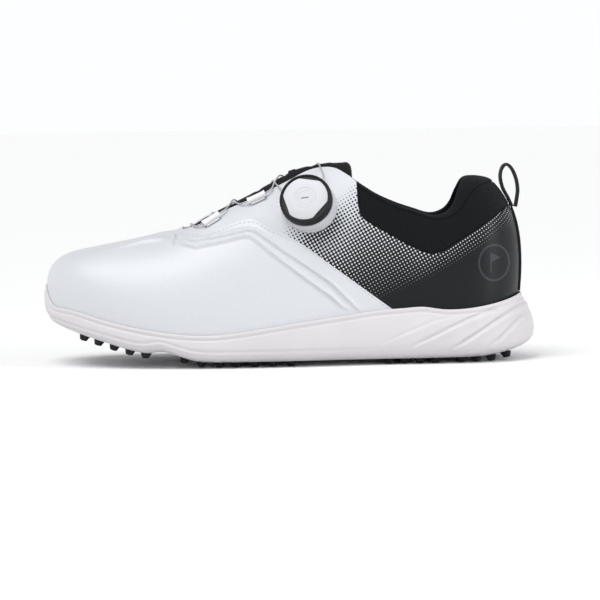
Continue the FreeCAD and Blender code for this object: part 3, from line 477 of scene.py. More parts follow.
def add_piece(name, bm, material, stands_for=(), body="root", crease=40.0):
    """Makes a piece of a bmesh, in place, and hides the CAD nodes it stands for."""
    mesh = bpy.data.meshes.new(name)
    for face in bm.faces:
        face.smooth = True
    bm.to_mesh(mesh)
    bm.free()
    mesh.set_sharp_from_angle(angle=math.radians(crease))
    mesh.materials.append(material)
    made = bpy.data.objects.new(name, mesh)
    bpy.context.scene.collection.objects.link(made)
    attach(made, body)
    if stands_for:
        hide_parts(*stands_for)
    print(f"{name}: {len(mesh.polygons)} faces")
    return made


def thicken(made, depth, edge=0.25, segments=2):
    """Gives a sheet its thickness inwards, and rounds its cut edges."""
    wall = made.modifiers.new("wall", "SOLIDIFY")
    wall.thickness = depth * MM
    wall.offset = -1.0
    wall.use_even_offset = True
    rounded = made.modifiers.new("edge", "BEVEL")
    rounded.width = edge * MM
    rounded.segments = segments
    rounded.limit_method = "ANGLE"
    rounded.angle_limit = CUT_EDGE_ANGLE
    rounded.harden_normals = True


def refinish(material, name):
    """Gives a CAD node whose shape is already right a better surface."""
    for slot in nodes[name].material_slots:
        slot.material = material
    print(material.name, "on", name)


print("helpers are ready")

# %% [markdown]
# ## Leather, printed and plain
#
# The upper is coated synthetic leather. Its grain is fine pebbles under a millimetre across,
# which show only as a soft sparkle, so they are a shallow bump with a little painted shade in
# the valleys. Larger, weaker noise keeps wide areas from looking like plastic.

# %% Leather finishes
WHITE = (0.600, 0.615, 0.648)
PRINT_BLACK = (0.0050, 0.0058, 0.0072)


def leather_grain(finish, place):
    """A height between 0 and 1 for fine pebbled grain, and slow unevenness."""
    cells = finish.pebbles(place, 1500.0)
    fine = finish.noise(place, 2600.0, 2.0)
    slow = finish.noise(place, 45.0, 2.0)
    return cells * 0.9 + fine * 0.5, slow


def white_leather():
    finish = Finish("white_leather", Coat_Roughness=0.35)
    place = finish.place()
    grain, slow = leather_grain(finish, place)
    # Painted shade: the grain's valleys are painted 5 % darker than its tops.
    painted_valley_shade = tuple(c * 0.95 for c in WHITE)
    colour = finish.tint(grain.ramp(0.35, 0.9), painted_valley_shade, WHITE)
    finish.relief(grain + slow * 1.5, 0.00005, 0.35)
    return finish.show(Base_Color=colour, Roughness=0.36 + slow * 0.12, Coat_Weight=0.12)


leather = white_leather()
print("leather:", leather.name)

# %% [markdown]
# The quarters are printed: white by the reel, then a lattice of dots that turns into black
# leather at the heel. A print like this is a screen: two crossed waves make a lattice of
# hills, and where the hills stand above a level there is white. The level comes from an
# attribute, "tone", that each quarter carries, so the fade follows its shape. On the outer
# quarter the tone also holds a painted shade in a band round the lower edge of the reel.

# %% Printed leather
SCREEN_PITCH = 1.95 * MM
SCREEN_TURN = math.radians(28.5)
HEEL_TURN = (95.0 * MM, 40.0 * MM)
EMBLEM = (124.0 * MM, 60.0 * MM)
EMBLEM_RADIUS = 10.6 * MM


def emblem_mask(finish, x, y, z):
    """A plain ring with a pennant in it, on the outer side of the heel only."""
    across, up = x - EMBLEM[0], z - EMBLEM[1]
    wide = across * 1.12
    away = finish.math_of("SQRT", wide * wide + up * up)
    ring = 1 - abs(away - EMBLEM_RADIUS).ramp(0.00055, 0.00075)
    pole = (1 - abs(across + 0.0022).ramp(0.0003, 0.00045)) * (1 - abs(up).ramp(0.0058, 0.006))
    slant = abs(up - 0.0031) * 2.2 + across
    flag = (across > -0.0022) * (1 - slant.ramp(0.0040, 0.0042))
    outer_side = 1 - (y > 0.0)
    return ring.over(pole).over(flag) * outer_side


def wrapped_x(finish, x, y):
    """x along the side, which goes on as the distance round the heel."""
    behind = (x - HEEL_TURN[0]).over(0.0)
    angle = finish.math_of("ARCTAN2", abs(y), behind)
    return x.under(HEEL_TURN[0]) + (math.pi / 2 - angle) * HEEL_TURN[1]


def printed_leather():
    finish = Finish("printed_leather", Specular_IOR_Level=0.24)
    place = finish.place()
    x, y, z = finish.axes(place)
    grain, slow = leather_grain(finish, place)
    turn = 2 * math.pi / SCREEN_PITCH
    run = wrapped_x(finish, x, y)
    along = (run * math.cos(SCREEN_TURN) + z * math.sin(SCREEN_TURN)) * turn
    across = (z * math.cos(SCREEN_TURN) - run * math.sin(SCREEN_TURN)) * turn
    hills = along.cos() + across.cos()
    # tone holds the print's fade and a painted shade below the reel.
    tone = finish.node("ShaderNodeAttribute", {"attribute_name": "tone"}).part("Fac")
    level = 2.15 - tone * 4.3
    white = (hills - level).ramp(-0.12, 0.12)
    black = finish.tint(emblem_mask(finish, x, y, z), PRINT_BLACK, (0.032, 0.034, 0.046))
    colour = finish.tint(white, black, WHITE)
    finish.relief(grain + slow * 1.5, 0.00005, 0.35)
    gloss = 0.36 - white * 0.02 + slow * 0.12
    return finish.show(Base_Color=colour, Roughness=gloss)


print_leather = printed_leather()
print("leather:", print_leather.name)

# %% [markdown]
# ## The vamp
#
# The vamp is one white sheet that wraps the toe and runs back along both sides over the
# quarters. Its cut edge drops along the throat and then falls to the sole. Two raised fold
# lines follow that edge: the leather is pressed over a cord, so each line has a soft shoulder
# above and a short, steep one below. The sheet is bent from one grid, from the inner side
# round the toe to the outer side, and the two halves are welded along the spine.

# %% Fold lines
FOLD_LINES = [
    [(-98, 73.0), (-90, 74.4), (-83.5, 75.9), (-77.9, 76.5), (-72, 76.8), (-64, 75.8),
     (-55.6, 74.3), (-41.5, 76.8), (-29, 79.4), (-23.9, 80.5), (-19, 79.6), (-6.3, 70.8),
     (11.3, 59.1), (25.2, 49.5), (41.3, 33.5)],
    [(-108, 68.6), (-98, 71.2), (-86.1, 73.6), (-76.7, 74.4), (-66, 72.9), (-55.6, 70.6),
     (-41.5, 73.4), (-29, 76.4), (-24.6, 77.3), (-20.5, 75.6), (-6.3, 64.2), (11.3, 51.4),
     (24, 42.4), (33, 34.5)],
]
FOLD_HEIGHT = 1.6
SOFT_SIDE, STEEP_SIDE = 1.7, 0.6
FADE_IN, FADE_OUT = 22, 12
VAMP_REACH = 9.15
VAMP_DEPTH, VAMP_THICK = -1.25, 1.1


def line_distance(line, x, z):
    """How far points seen from the side are from a line, and whether they are above it."""
    knots = np.array(line, float)
    best = np.full_like(x, 99.0)
    side = np.zeros_like(x)
    for (x0, z0), (x1, z1) in zip(knots, knots[1:]):
        run = np.array([x1 - x0, z1 - z0])
        share = np.clip(((x - x0) * run[0] + (z - z0) * run[1]) / (run @ run), 0, 1)
        away_x, away_z = x - x0 - share * run[0], z - z0 - share * run[1]
        away = np.hypot(away_x, away_z)
        side = np.where(away < best, away_z * run[0] - away_x * run[1], side)
        best = np.minimum(best, away)
    return best, side > 0


def fold_height(x, z):
    """How far the fold lines raise the leather, for points seen from the side."""
    raised = np.zeros_like(x)
    for line in FOLD_LINES:
        away, above = line_distance(line, x, z)
        width = np.where(above, SOFT_SIDE, STEEP_SIDE)
        start, end = line[0][0], line[-1][0]
        going = (end + FADE_OUT / 2 - x) / FADE_OUT
        fade = np.clip((x - start) / FADE_IN, 0, 1) * np.clip(going, 0, 1)
        raised = np.maximum(raised, np.exp(-(away / width) ** 2) * fade)
    return raised * FOLD_HEIGHT


def vamp_at(s, t):
    u = -VAMP_REACH + 2 * VAMP_REACH * s
    side = np.abs(u)
    top = np.where(side < THROAT - 0.05, UPRIGHT, lift_to(u, overlay_edge))
    lift = top * (1 - (1 - t) ** 1.12)
    flat = last_point(u, lift)
    return last_point(u, lift, VAMP_DEPTH - fold_height(flat[..., 0], flat[..., 2]))


vamp = add_piece("vamp_leather", bent_grid(340, 120, vamp_at, weld=True), leather,
                 ["vamp"])
thicken(vamp, VAMP_THICK, 0.35)

# %% [markdown]
# ## The quarters
#
# Each quarter runs from the throat to the heel. Its upper edge is the shoe's top line as far
# as the knit collar, then drops down the seam and follows it back. The columns of the grid
# crowd together where the edge is steep. On the outer side a round hole takes the reel: the
# corners near its edge are pulled on to the circle, and the faces inside are deleted.

# %% Quarters
turn_joint = next(joint for joint in frame["joints"] if joint["name"] == "dial_turn")
REEL_CENTRE = Vector(turn_joint["pos_m"]) / MM
REEL_AXIS = Vector(turn_joint["axis"]).normalized()
REEL_ACROSS = -REEL_AXIS.cross(Vector((0, 0, 1))).normalized()
REEL_UP = REEL_AXIS.cross(REEL_ACROSS)
REEL_HOLE = 15.6
HOLE_DEPTH, HOLE_SNAP = 12, 0.8
COLLAR_START = 41.8
QUARTER_THICK = 1.4


def quarter_top(u):
    """The lift of the quarter's upper edge: the top line, and the knit's seam behind it."""
    along_top = lift_to(u, top_line)
    x = last_point(u, along_top)[..., 0]
    return np.where(x < COLLAR_START, along_top, lift_to(u, collar_edge))


black_below = Curve((-40, 20), (20, 30), (46.6, 33), (68, 42), (86.5, 51.5), (111, 64), (129, 76))
fade_rate = Curve((0, 0.0125), (30, 0.0110), (46.6, 0.0088), (68, 0.0105), (86.5, 0.0185),
                  (111, 0.0145), (129, 0.0095))


def print_tone_and_shade(x, y, z):
    """How white the print is, from 1 at the reel to 0 at the heel, seen from the side, less a painted
    shade below the reel on the outer side.
    """
    tone = (z - black_below.at(x)) * fade_rate.at(x)
    lifted = np.clip((z - 96 - (x - 36) * 0.9) / 26, 0, 1) * 0.5
    ahead = np.clip((-2 - x + (z - 80) * 0.35) / 18, 0, 1)
    from_reel = np.hypot(x - REEL_CENTRE.x, z - REEL_CENTRE.z)
    # Painted shade: the print is darkened in a band round the lower edge of the reel, on the outer side
    # only.
    painted_shade_below_reel = 0.24 * np.exp(-((from_reel - 16) / 7) ** 2) * np.clip((REEL_CENTRE.z - z) / 10, 0, 1)
    return np.clip(tone + lifted + ahead - painted_shade_below_reel * (y < 0), 0.0, 1.0)


def bore_reel_hole(bm):
    """Opens a round hole for the reel, with its rim on the circle."""
    for v in bm.verts:
        from_centre = v.co / MM - REEL_CENTRE
        height = from_centre.dot(REEL_AXIS)
        flat = from_centre - REEL_AXIS * height
        if abs(height) < HOLE_DEPTH and abs(flat.length - REEL_HOLE) < HOLE_SNAP:
            v.co = (REEL_CENTRE + REEL_AXIS * height + flat.normalized() * REEL_HOLE) * MM
    inside = []
    for face in bm.faces:
        from_centre = face.calc_center_median() / MM - REEL_CENTRE
        height = from_centre.dot(REEL_AXIS)
        if abs(height) < HOLE_DEPTH and (from_centre - REEL_AXIS * height).length < REEL_HOLE:
            inside.append(face)
    bmesh.ops.delete(bm, geom=inside, context="FACES")


def make_quarter(name, node, side):
    dense = np.array([THROAT + 0.1, 8.0, 8.18, 8.3, HEEL_END])
    share = np.array([0.0, 0.40, 0.47, 0.52, 1.0])

    def place(s, t):
        u = np.interp(s, share, dense)
        return last_point(side * u, quarter_top(side * u) * (1 - (1 - t) ** 1.1))
    bm = bent_grid(190, 60, place)
    if side < 0:
        bmesh.ops.reverse_faces(bm, faces=bm.faces)
    else:
        bore_reel_hole(bm)
    tone_layer = bm.verts.layers.float.new("tone")
    points = np.array([v.co for v in bm.verts]) / MM
    for v, tone in zip(bm.verts, print_tone_and_shade(*points.T)):
        v[tone_layer] = float(tone)
    thicken(add_piece(name, bm, print_leather, [node]), QUARTER_THICK, 0.3)


make_quarter("outer_quarter", "quarter_lateral", 1)
make_quarter("inner_quarter", "quarter_medial", -1)

# %% [markdown]
# ## Knit and lining
#
# Knitted cloth is rows of small V shapes. The V comes from shifting each row's wave by how
# far a point is from the middle of its column of stitches. The weave follows the piece's own
# UV map, so it bends round the collar as real cloth does. Its crests carry a painted highlight
# and the gaps between stitches a painted shade. The lining is a plain mesh of small round
# openings.

# %% Cloth finishes


def stitch_rows(finish, length, width, column, row):
    """The height of a knit over a UV map that is length by width millimetres."""
    u, v, _ = finish.axes(finish.node("ShaderNodeUVMap", {"uv_map": "weave"}))
    across, along = u * (length / column), v * (width / row)
    cell = finish.math_of("FRACT", across)
    slope = abs(cell - 0.5) * 1.2
    return (finish.math_of("FRACT", along + slope) - 0.5), cell


def cloth(name, colour, length, width, column=1.25, row=1.05, depth=0.00018, light=1.9):
    finish = Finish(name, Sheen_Weight=0.04, Sheen_Roughness=0.4, Specular_IOR_Level=0.12)
    yarn, cell = stitch_rows(finish, length, width, column, row)
    ridge = 1 - abs(yarn) * 2
    gap = abs(cell - 0.5).ramp(0.34, 0.5)
    height = ridge * 0.8 - gap * 0.6
    fuzz = finish.noise(finish.place(), 5200.0, 2.0)
    # Painted light: the yarn crests are painted brighter and the gaps between stitches darker, as
    # highlight and shade.
    painted_crest_highlight = tuple(c * light for c in colour)
    shade = finish.tint(height.ramp(0.0, 0.75), tuple(c * 0.45 for c in colour), painted_crest_highlight)
    finish.relief(height + fuzz * 0.3, depth, 0.8)
    return finish.show(Base_Color=shade, Roughness=0.82 + fuzz * 0.12)


KNIT_BLACK = (0.0060, 0.0066, 0.0080)
knit = cloth("collar_knit", KNIT_BLACK, 260, 74)
tongue_cloth = cloth("tongue_cloth", (0.010, 0.010, 0.0115), 84, 104, 1.5, 1.2)
print("cloths:", knit.name, tongue_cloth.name)

# %% [markdown]
# ## The padded collar
#
# Round the ankle, knit is folded over foam and turned down inside as the lining. A seam
# runs just under the rim, so the collar is two crowned forms: a thin panel outside, and a
# thick roll that swells inwards. The section is one closed path, from the panel's lower edge
# up, over the rim, down inside and back, and the grid carries it round the heel.

# %% Collar section
PANEL_TUCK, SEAM_DROP, BESIDE = 1.75, 2.7, 0.35
FRONT = 8.13


def lining_depth(u, z, x):
    """How deep the lining's inner face is: it swells where there is foam behind it."""
    station = np.abs((u + HEEL) % AROUND - HEEL)
    back = np.clip((station - 8.45) / 1.4, 0, 1)
    back = back * back * (3 - 2 * back)
    low, high = foam_line.at(x), top_line.at(x)
    share = np.clip((z - low) / (high - low), 0, 1)
    return 1.55 + back * (1.65 + np.sin(math.pi * 0.72 * share) * 5.6) + 0.8 + BESIDE


def collar_section(u, t):
    """Height and depth of a share t of the way round the collar's section."""
    rim = last_point(u, lift_to(u, top_line))
    x, high = rim[..., 0], rim[..., 2]
    low = last_point(u, lift_to(u, collar_edge))[..., 2]
    seam_drop = SEAM_DROP + 1.3 * np.clip((x - 95) / 15, 0, 1)
    low = np.minimum(low, high - seam_drop - 2)
    seam = high - seam_drop
    bottom = foam_line.at(x) - 3
    front = np.clip((43.6 - x) / 1.6, 0, 1)

    q = np.clip((t - 0.03) / 0.37, 0, 1)
    panel_z = low + (seam - low) * q
    panel_depth = 0.55 - 0.95 * np.sin(math.pi * q) ** 0.45
    tuck_share = np.clip(t / 0.03, 0, 1)
    z = np.where(t < 0.03, low - 3 * (1 - tuck_share), panel_z)
    depth = np.where(t < 0.03, PANEL_TUCK - 1.2 * tuck_share, panel_depth)

    inside = lining_depth(u, high - 4, x)
    half = (inside + 0.3) / 2
    turn = np.clip((t - 0.42) / 0.28, 0, 1) * math.pi
    drop = np.where(turn < UPRIGHT, seam_drop - 0.35, 0.95 * half)
    roll_z = high - drop * (1 - np.sin(turn))
    roll_depth = half - 0.3 - half * np.cos(turn)
    z = np.where(t > 0.41, roll_z, z)
    depth = np.where(t > 0.41, roll_depth, depth)

    q = np.clip((t - 0.70) / 0.24, 0, 1)
    inner_z = (high - 0.95 * half) * (1 - q) + bottom * q
    z = np.where(t > 0.70, inner_z, z)
    depth = np.where(t > 0.70, lining_depth(u, inner_z, x), depth)
    z = np.where(t > 0.95, bottom + (low - 3 - bottom) * np.clip((t - 0.95) / 0.05, 0, 1), z)
    depth = np.where(t > 0.95, PANEL_TUCK, depth)
    return z, np.maximum(depth, PANEL_TUCK * front)


def collar_at(s, t):
    u = FRONT + (AROUND - 2 * FRONT) * s
    z, depth = collar_section(u, t)
    return last_point(u, lift_at(u, z, depth), depth)


def close_ends(bm):
    """Fills the two open ends of a tube."""
    open_edges = [edge for edge in bm.edges if edge.is_boundary]
    bmesh.ops.holes_fill(bm, edges=open_edges, sides=0)
    return bm


collar_mesh = close_ends(bent_grid(300, 100, collar_at, weld=True))
collar = add_piece("collar_pad", collar_mesh, knit,
                   ["collar_foam", "collar_panel_lateral", "collar_panel_medial"],
                   crease=60)

# %% [markdown]
# ## The tongue
#
# The tongue is a long pad under the throat. Its skin is crowned between stitched channels,
# and its upper end is rolled and stands proud of the facings. The section is closed again,
# and it thins to nothing at both ends.

# %% Tongue
TONGUE_HALF, TONGUE_TOP, TONGUE_UNDER = 23.6, 2.5, 8.2


def tongue_at(s, t):
    u = 4.28 + (8.14 - 4.28) * s
    around = 2 * math.pi * t
    wide = np.cos(around)
    thick = np.sign(np.sin(around)) * np.abs(np.sin(around)) ** 0.7
    end = np.clip(np.minimum(s / 0.05, (1 - s) / 0.035), 0, 1)
    fat = np.sqrt(1 - (1 - end) ** 2)
    channel = np.exp(-((s * 84) % 12 - 6) ** 2 / 1.2) * 0.55 * (s < 0.82)
    rolled = np.exp(-((s - 0.96) / 0.04) ** 2) * 0.9
    middle = (TONGUE_TOP + TONGUE_UNDER) / 2
    half = (TONGUE_UNDER - TONGUE_TOP) / 2 * fat
    width = TONGUE_HALF * np.abs(wide) ** 0.85 * (0.82 + 0.18 * fat)
    between = 1 - np.clip((width - 6) / 3.5, 0, 1)
    crown = (0.5 + 1.3 * np.clip((s - 0.58) / 0.13, 0, 1)) * np.clip((0.95 - s) / 0.07, 0, 1)
    proud = rolled - channel + crown * between * between * (3 - 2 * between)
    depth = middle - thick * (half + np.where(thick > 0, proud * fat, 0.0))
    lift = bisect(lambda v: np.abs(last_point(u, v, depth)[..., 1]) > width,
                  np.zeros_like(u), np.full_like(u, UPRIGHT))
    return last_point(np.where(wide < 0, u, -u), lift, depth)


tongue_mesh = face_outwards(close_ends(bent_grid(150, 72, tongue_at, weld=True)))
tongue = add_piece("tongue_pad", tongue_mesh, tongue_cloth,
                   ["tongue_outer", "tongue_foam", "tongue_lining"], crease=60)

# %% [markdown]
# ## The sole's side
#
# The sole is two mouldings: a thick foam midsole whose cup holds the upper, and a thin rubber
# outsole under it. Both share one side wall, which starts tucked in at the ground, swells and
# comes back to a lip. At the heel long flutes sweep up and back. Each has a sharp crest with a
# groove just above it, so a flute is a height that depends on the distance to a line, and
# which side of it a point is on.

# %% Sole wall
FLUTES = [
    [(72.4, 9.5), (87.7, 16.7), (96.9, 20.9), (108, 25.7), (115.9, 28.6), (123.3, 31.0)],
    [(93.3, 6.2), (103.7, 11.6), (111.7, 16.4), (119.6, 21.2), (125.2, 24.8), (135, 29.6),
     (142.9, 33.2), (152, 37)],
    [(115.9, 5.9), (123.3, 11.4), (126.4, 13.2), (139.3, 24.7), (146, 28.2), (154, 31)],
    [(54, 11.6), (70, 18.4), (87.7, 25.3), (103.7, 28.2)],
]
FLUTE_HEIGHTS = [1.0, 1.25, 1.1, 0.35]
OUTSOLE_WALL = 4.4
FOAM_START = 4.42


def flute_relief(x, z):
    """How far the wall stands out at the heel's flutes, in millimetres."""
    total = np.zeros_like(x)
    for line, height in zip(FLUTES, FLUTE_HEIGHTS):
        away, above = line_distance(line, x, z)
        crest = np.exp(-(away / np.where(above, 0.45, 3.4)) ** 2)
        groove = np.exp(-((away - 1.3) / 0.9) ** 2) * above
        fade = np.clip((x - line[0][0] + 3) / 14, 0, 1)
        if height < 1:
            fade = fade * np.clip((line[-1][0] - x) / 20, 0, 1)
        fade = fade * (1 - 0.75 * np.clip((x - 138) / 9, 0, 1))
        total = total + height * fade * (crest - 0.9 * groove)
    return total


def lip_top(u):
    """The height of the sole's lip, which swells a little over the arch."""
    return lip_height.at(u) + 1.3 * np.exp(-((plan_x.at(u) - 80) / 9) ** 2)


def sole_wall(u, f, relief=False):
    """A point of the sole's side, from its lower edge at 0 to the lip at 1."""
    inset, full, rim, peak = tuck.at(u), fullest.at(u), lip.at(u), full_at.at(u)
    out = -inset + (full + inset) * (1 - (1 - np.clip(f / peak, 0, 1)) ** 3.5)
    above = np.clip((f - peak) / (1 - peak), 0, 1)
    out = np.where(f < peak, out, full - (full - rim) * above ** 1.5)
    low, high = ground_line.at(outline(u, inset)[0]), lip_top(u)
    z = low + (high - low) * f
    x, y = outline(u, -out)
    if relief:
        below_lip = high - z
        bead = 0.35 * np.exp(-((below_lip - 0.9) / 0.9) ** 2)
        groove = -0.45 * np.exp(-((below_lip - 2.9) / 0.7) ** 2)
        crease = -0.25 * np.exp(-((z - low - FOAM_START) / 0.5) ** 2)
        crease -= 0.55 * np.exp(-((z - low - 6.6) / 1.1) ** 2) * np.clip((60 - x) / 30, 0, 1)
        x, y = outline(u, -(out + bead + groove + crease + flute_relief(x, z)))
    return np.stack([x, y, z], -1)


def wall_share(u, rise):
    """How far up the side wall a height above its lower edge is."""
    low = ground_line.at(outline(u, tuck.at(u))[0])
    return rise / (lip_top(u) - low)


def sole_floor(u, f, rise, start):
    """A point of a level in the sole, from the spine at 0 to the wall at 1."""
    edge = sole_wall(u, start)
    x = spine_x.at(u) * (1 - f) + edge[..., 0] * f
    level = ground_line.at(x) + rise
    return np.stack([x, edge[..., 1] * f, level * (1 - f ** 6) + edge[..., 2] * f ** 6], -1)


def stretch(t, start, end):
    """t moved so that it runs from 0 to 1 between start and end."""
    return np.clip((t - start) / (end - start), 0, 1)


print("the wall stands out at most", max(row[1] for row in SOLE_STATIONS), "mm")

# %% [markdown]
# ## Foam and rubber
#
# Moulded foam has a matt skin with a trace of warm pink in its shade, and rubber a slightly
# harder one. Both have very fine unevenness rather than a pattern.

# %% Moulded finishes


def moulded(name, colour, roughness, grain=1800.0, depth=0.00003, **constants):
    finish = Finish(name, **constants)
    place = finish.place()
    fine = finish.noise(place, grain, 2.0)
    slow = finish.noise(place, 38.0, 2.0)
    shade = finish.tint(slow.ramp(0.3, 0.7), tuple(c * 0.965 for c in colour), colour)
    finish.relief(fine + slow, depth, 0.5)
    return finish.show(Base_Color=shade, Roughness=roughness + slow * 0.1)


foam = moulded("midsole_foam", (0.610, 0.588, 0.612), 0.52)
white_rubber = moulded("outsole_rubber", (0.600, 0.580, 0.602), 0.46)
black_rubber = moulded("stud_rubber", (0.012, 0.0125, 0.014), 0.5, 900.0,
                       Specular_IOR_Level=0.2)
print("moulded:", foam.name, white_rubber.name, black_rubber.name)

# %% [markdown]
# ## Midsole and outsole
#
# Each moulding is one closed skin round the shoe: under, up the side wall, over the lip or the
# top, and back to the middle. It could be cut from a block with booleans, but a bent grid keeps
# even rows for the flutes and lets the cup follow the upper. The seam is welded at the end.

# %% Midsole and outsole
CUP_DEPTH = -1.45
CAST_CREASE = 35.0


def cup_point(u, f):
    """The inside of the midsole's cup, from the feather edge at 0 to the lip at 1."""
    top = lift_at(u, lip_top(u), CUP_DEPTH)
    point = last_point(u, top * f, CUP_DEPTH)
    point[..., 2] -= 0.2 * (1 - f)
    return point


def midsole_at(s, t):
    u = AROUND * s
    start = wall_share(u, FOAM_START)
    under = sole_floor(u, stretch(t, 0, 0.08), FOAM_START, start)
    wall = sole_wall(u, start + (1 - start) * stretch(t, 0.08, 0.76), relief=True)
    cup = cup_point(u, 1 - stretch(t, 0.78, 0.92))
    inwards = stretch(t, 0.92, 1.0)[:, None]
    edge = cup_point(u, np.zeros_like(u))
    spine = np.stack([spine_x.at(u), np.zeros_like(u), edge[:, 2]], -1)
    floor = edge * (1 - inwards) + spine * inwards
    t = t[:, None]
    return np.where(t < 0.08, under, np.where(t < 0.77, wall, np.where(t < 0.92, cup, floor)))


def tread_relief(x, y):
    """Shallow grooves across the tread, bowed forward in the middle."""
    wave = (x + 0.012 * y * y + 140) % 19 - 9.5
    return 1.1 * np.exp(-(wave / 1.6) ** 4)


def outsole_at(s, t):
    u = AROUND * s
    under = sole_floor(u, stretch(t, 0, 0.55), 0, 0)
    grooved = tread_relief(under[:, 0], under[:, 1]) * stretch(t, 0.55, 0.45)
    under[:, 2] += grooved
    wall = sole_wall(u, wall_share(u, OUTSOLE_WALL) * stretch(t, 0.55, 0.85))
    top = sole_floor(u, 1 - stretch(t, 0.87, 1.0), OUTSOLE_WALL, wall_share(u, OUTSOLE_WALL))
    t = t[:, None]
    return np.where(t < 0.55, under, np.where(t < 0.86, wall, top))


def closed_piece(name, columns, rows, place, material, stands_for):
    bm = face_outwards(bent_grid(columns, rows, place, weld=True))
    add_piece(name, bm, material, stands_for, crease=CAST_CREASE)


closed_piece("midsole_moulding", 560, 100, midsole_at, foam, ["midsole"])
closed_piece("outsole_moulding", 480, 60, outsole_at, white_rubber, ["outsole"])

# %% [markdown]
# ## Studs
#
# Spikeless golf shoes grip with small rubber studs in staggered rows. Each is a short tapered
# lug with a rounded tip, square to the sole's slope. They could be cut from the tread in one
# piece, but a short cone with its tip's rim bevelled is enough for a shape repeated so often.

# %% Studs
STUD_ROOT, STUD_TIP, STUD_HEIGHT = 3.3, 2.1, 3.4


def add_stud(bm, x, y):
    slope = float(ground_line.at(np.array(x + 2.0)) - ground_line.at(np.array(x - 2.0))) / 4
    tilt = Matrix.Rotation(-math.atan(slope), 4, "Y")
    centre = Vector((x, y, float(ground_line.at(np.array(float(x))))))
    place = Matrix.Translation(centre * MM) @ tilt @ Matrix.Translation((0, 0, -1.6 * MM))
    made = bmesh.ops.create_cone(bm, cap_ends=True, segments=14, radius1=STUD_TIP * MM,
                                 radius2=STUD_ROOT * MM, depth=STUD_HEIGHT * MM, matrix=place)
    tip_edges = {e for v in made["verts"] for e in v.link_edges
                 if all((end.co - place @ Vector((0, 0, -STUD_HEIGHT / 2 * MM))).length
                        < STUD_TIP * 1.05 * MM for end in e.verts)}
    round_edges(bm, tip_edges, 0.7, 2)


def make_studs(name, rows, pitch):
    bm = bmesh.new()
    total = 0
    for number, x in enumerate(rows):
        ends = []
        for side in (1, -1):
            u = bisect(lambda s: outline(side * s, 0)[0] < x, np.zeros(1), np.full(1, float(HEEL)))
            ends.append(float(outline(side * u, tuck.at(u) + STUD_ROOT + 0.6)[1][0]))
        low, high = ends
        count = max(2, round((high - low) / pitch) + number % 2)
        for y in np.linspace(low, high, count):
            add_stud(bm, x, float(y))
        total += count
    add_piece(name + "_lugs", bm, black_rubber, [name])
    print(name, total, "studs")


make_studs("studs_forefoot", (-123.5, -114.5, -105, -95.5, -86, -62.5, -52.5, -42, -31.5, -21, -10,
                              1), 15.0)
make_studs("studs_heel", (60, 69, 78.5, 88, 104, 113, 122, 131.5), 14.0)

# %% [markdown]
# ## Lace guides
#
# The lace runs through smooth white plastic tunnels at the edge of each facing. A tunnel is
# a spun profile: it flares at both ends, so that the lace never rubs on a corner, and it is
# squashed a little towards the shoe. A thin foot under it is sewn to the facing.

# %% Plastics
white_plastic = moulded("guide_plastic", (0.74, 0.74, 0.75), 0.3, 900.0, 0.00001)
black_plastic = moulded("dial_plastic", (0.011, 0.0115, 0.014), 0.42, 1200.0,
                        Specular_IOR_Level=0.25)
cap_plastic = moulded("cap_plastic", (0.560, 0.568, 0.600), 0.34, 900.0, 0.00001)
print("plastics:", white_plastic.name, black_plastic.name, cap_plastic.name)

# %% Guides
GUIDES = {"lace_guide_lateral_1": (False, -50.6), "lace_guide_lateral_2": (False, -23.2),
          "lace_guide_medial_1": (True, -53.2), "lace_guide_medial_2": (True, -25.6),
          "lace_guide_medial_3": (True, 3.0)}
GUIDE_LENGTH, GUIDE_FACE, GUIDE_DEPTH = 11.6, 5.6, 3.8


def spun(profile, steps, rib=None):
    """A closed profile of (radius, height) spun a full turn round Z, in millimetres."""
    bm = bmesh.new()
    verts = [bm.verts.new((radius, 0, height)) for radius, height in profile]
    edges = [bm.edges.new(pair) for pair in zip(verts, verts[1:] + verts[:1])]
    bmesh.ops.spin(bm, geom=verts + edges, cent=(0, 0, 0), axis=(0, 0, 1), steps=steps,
                   angle=2 * math.pi, use_merge=True)
    bmesh.ops.remove_doubles(bm, verts=bm.verts, dist=0.001)
    face_outwards(bm)
    if rib:
        for v in bm.verts:
            share = rib(math.atan2(v.co.y, v.co.x), v.co.z, math.hypot(v.co.x, v.co.y))
            v.co.x, v.co.y = v.co.x * share, v.co.y * share
    return bm


def out_of_the_shoe(normal, point):
    """The normal or its opposite, whichever points away from the shoe's middle."""
    normal = Vector(normal)
    return -normal if normal.y * point[1] < 0 else normal


def guide_frame(inner_side, x_front):
    """Where a guide stands: its seat, and its along, across and outward directions."""
    drop = GUIDE_FACE / 2 - 0.3
    heights = top_line.at(np.array([x_front, x_front + GUIDE_LENGTH]))
    slope = (heights[1] - heights[0]) / GUIDE_LENGTH
    x = x_front + np.array([0, 0.5, 1]) * GUIDE_LENGTH / math.hypot(1, slope)
    u, lift = locate(x, top_line.at(x) - drop, inner_side)
    points = last_point(u, lift)
    normal = out_of_the_shoe(outward(u, lift)[1], points[1])
    along = Vector(points[2] - points[0]).normalized()
    normal = (normal - along * normal.dot(along)).normalized()
    return Vector(points[1]) + normal * 0.5, along, normal.cross(along), normal


def frame_matrix(seat, *directions):
    turned = Matrix(directions).transposed().to_4x4()
    return Matrix.Scale(MM, 4) @ Matrix.Translation(seat) @ turned


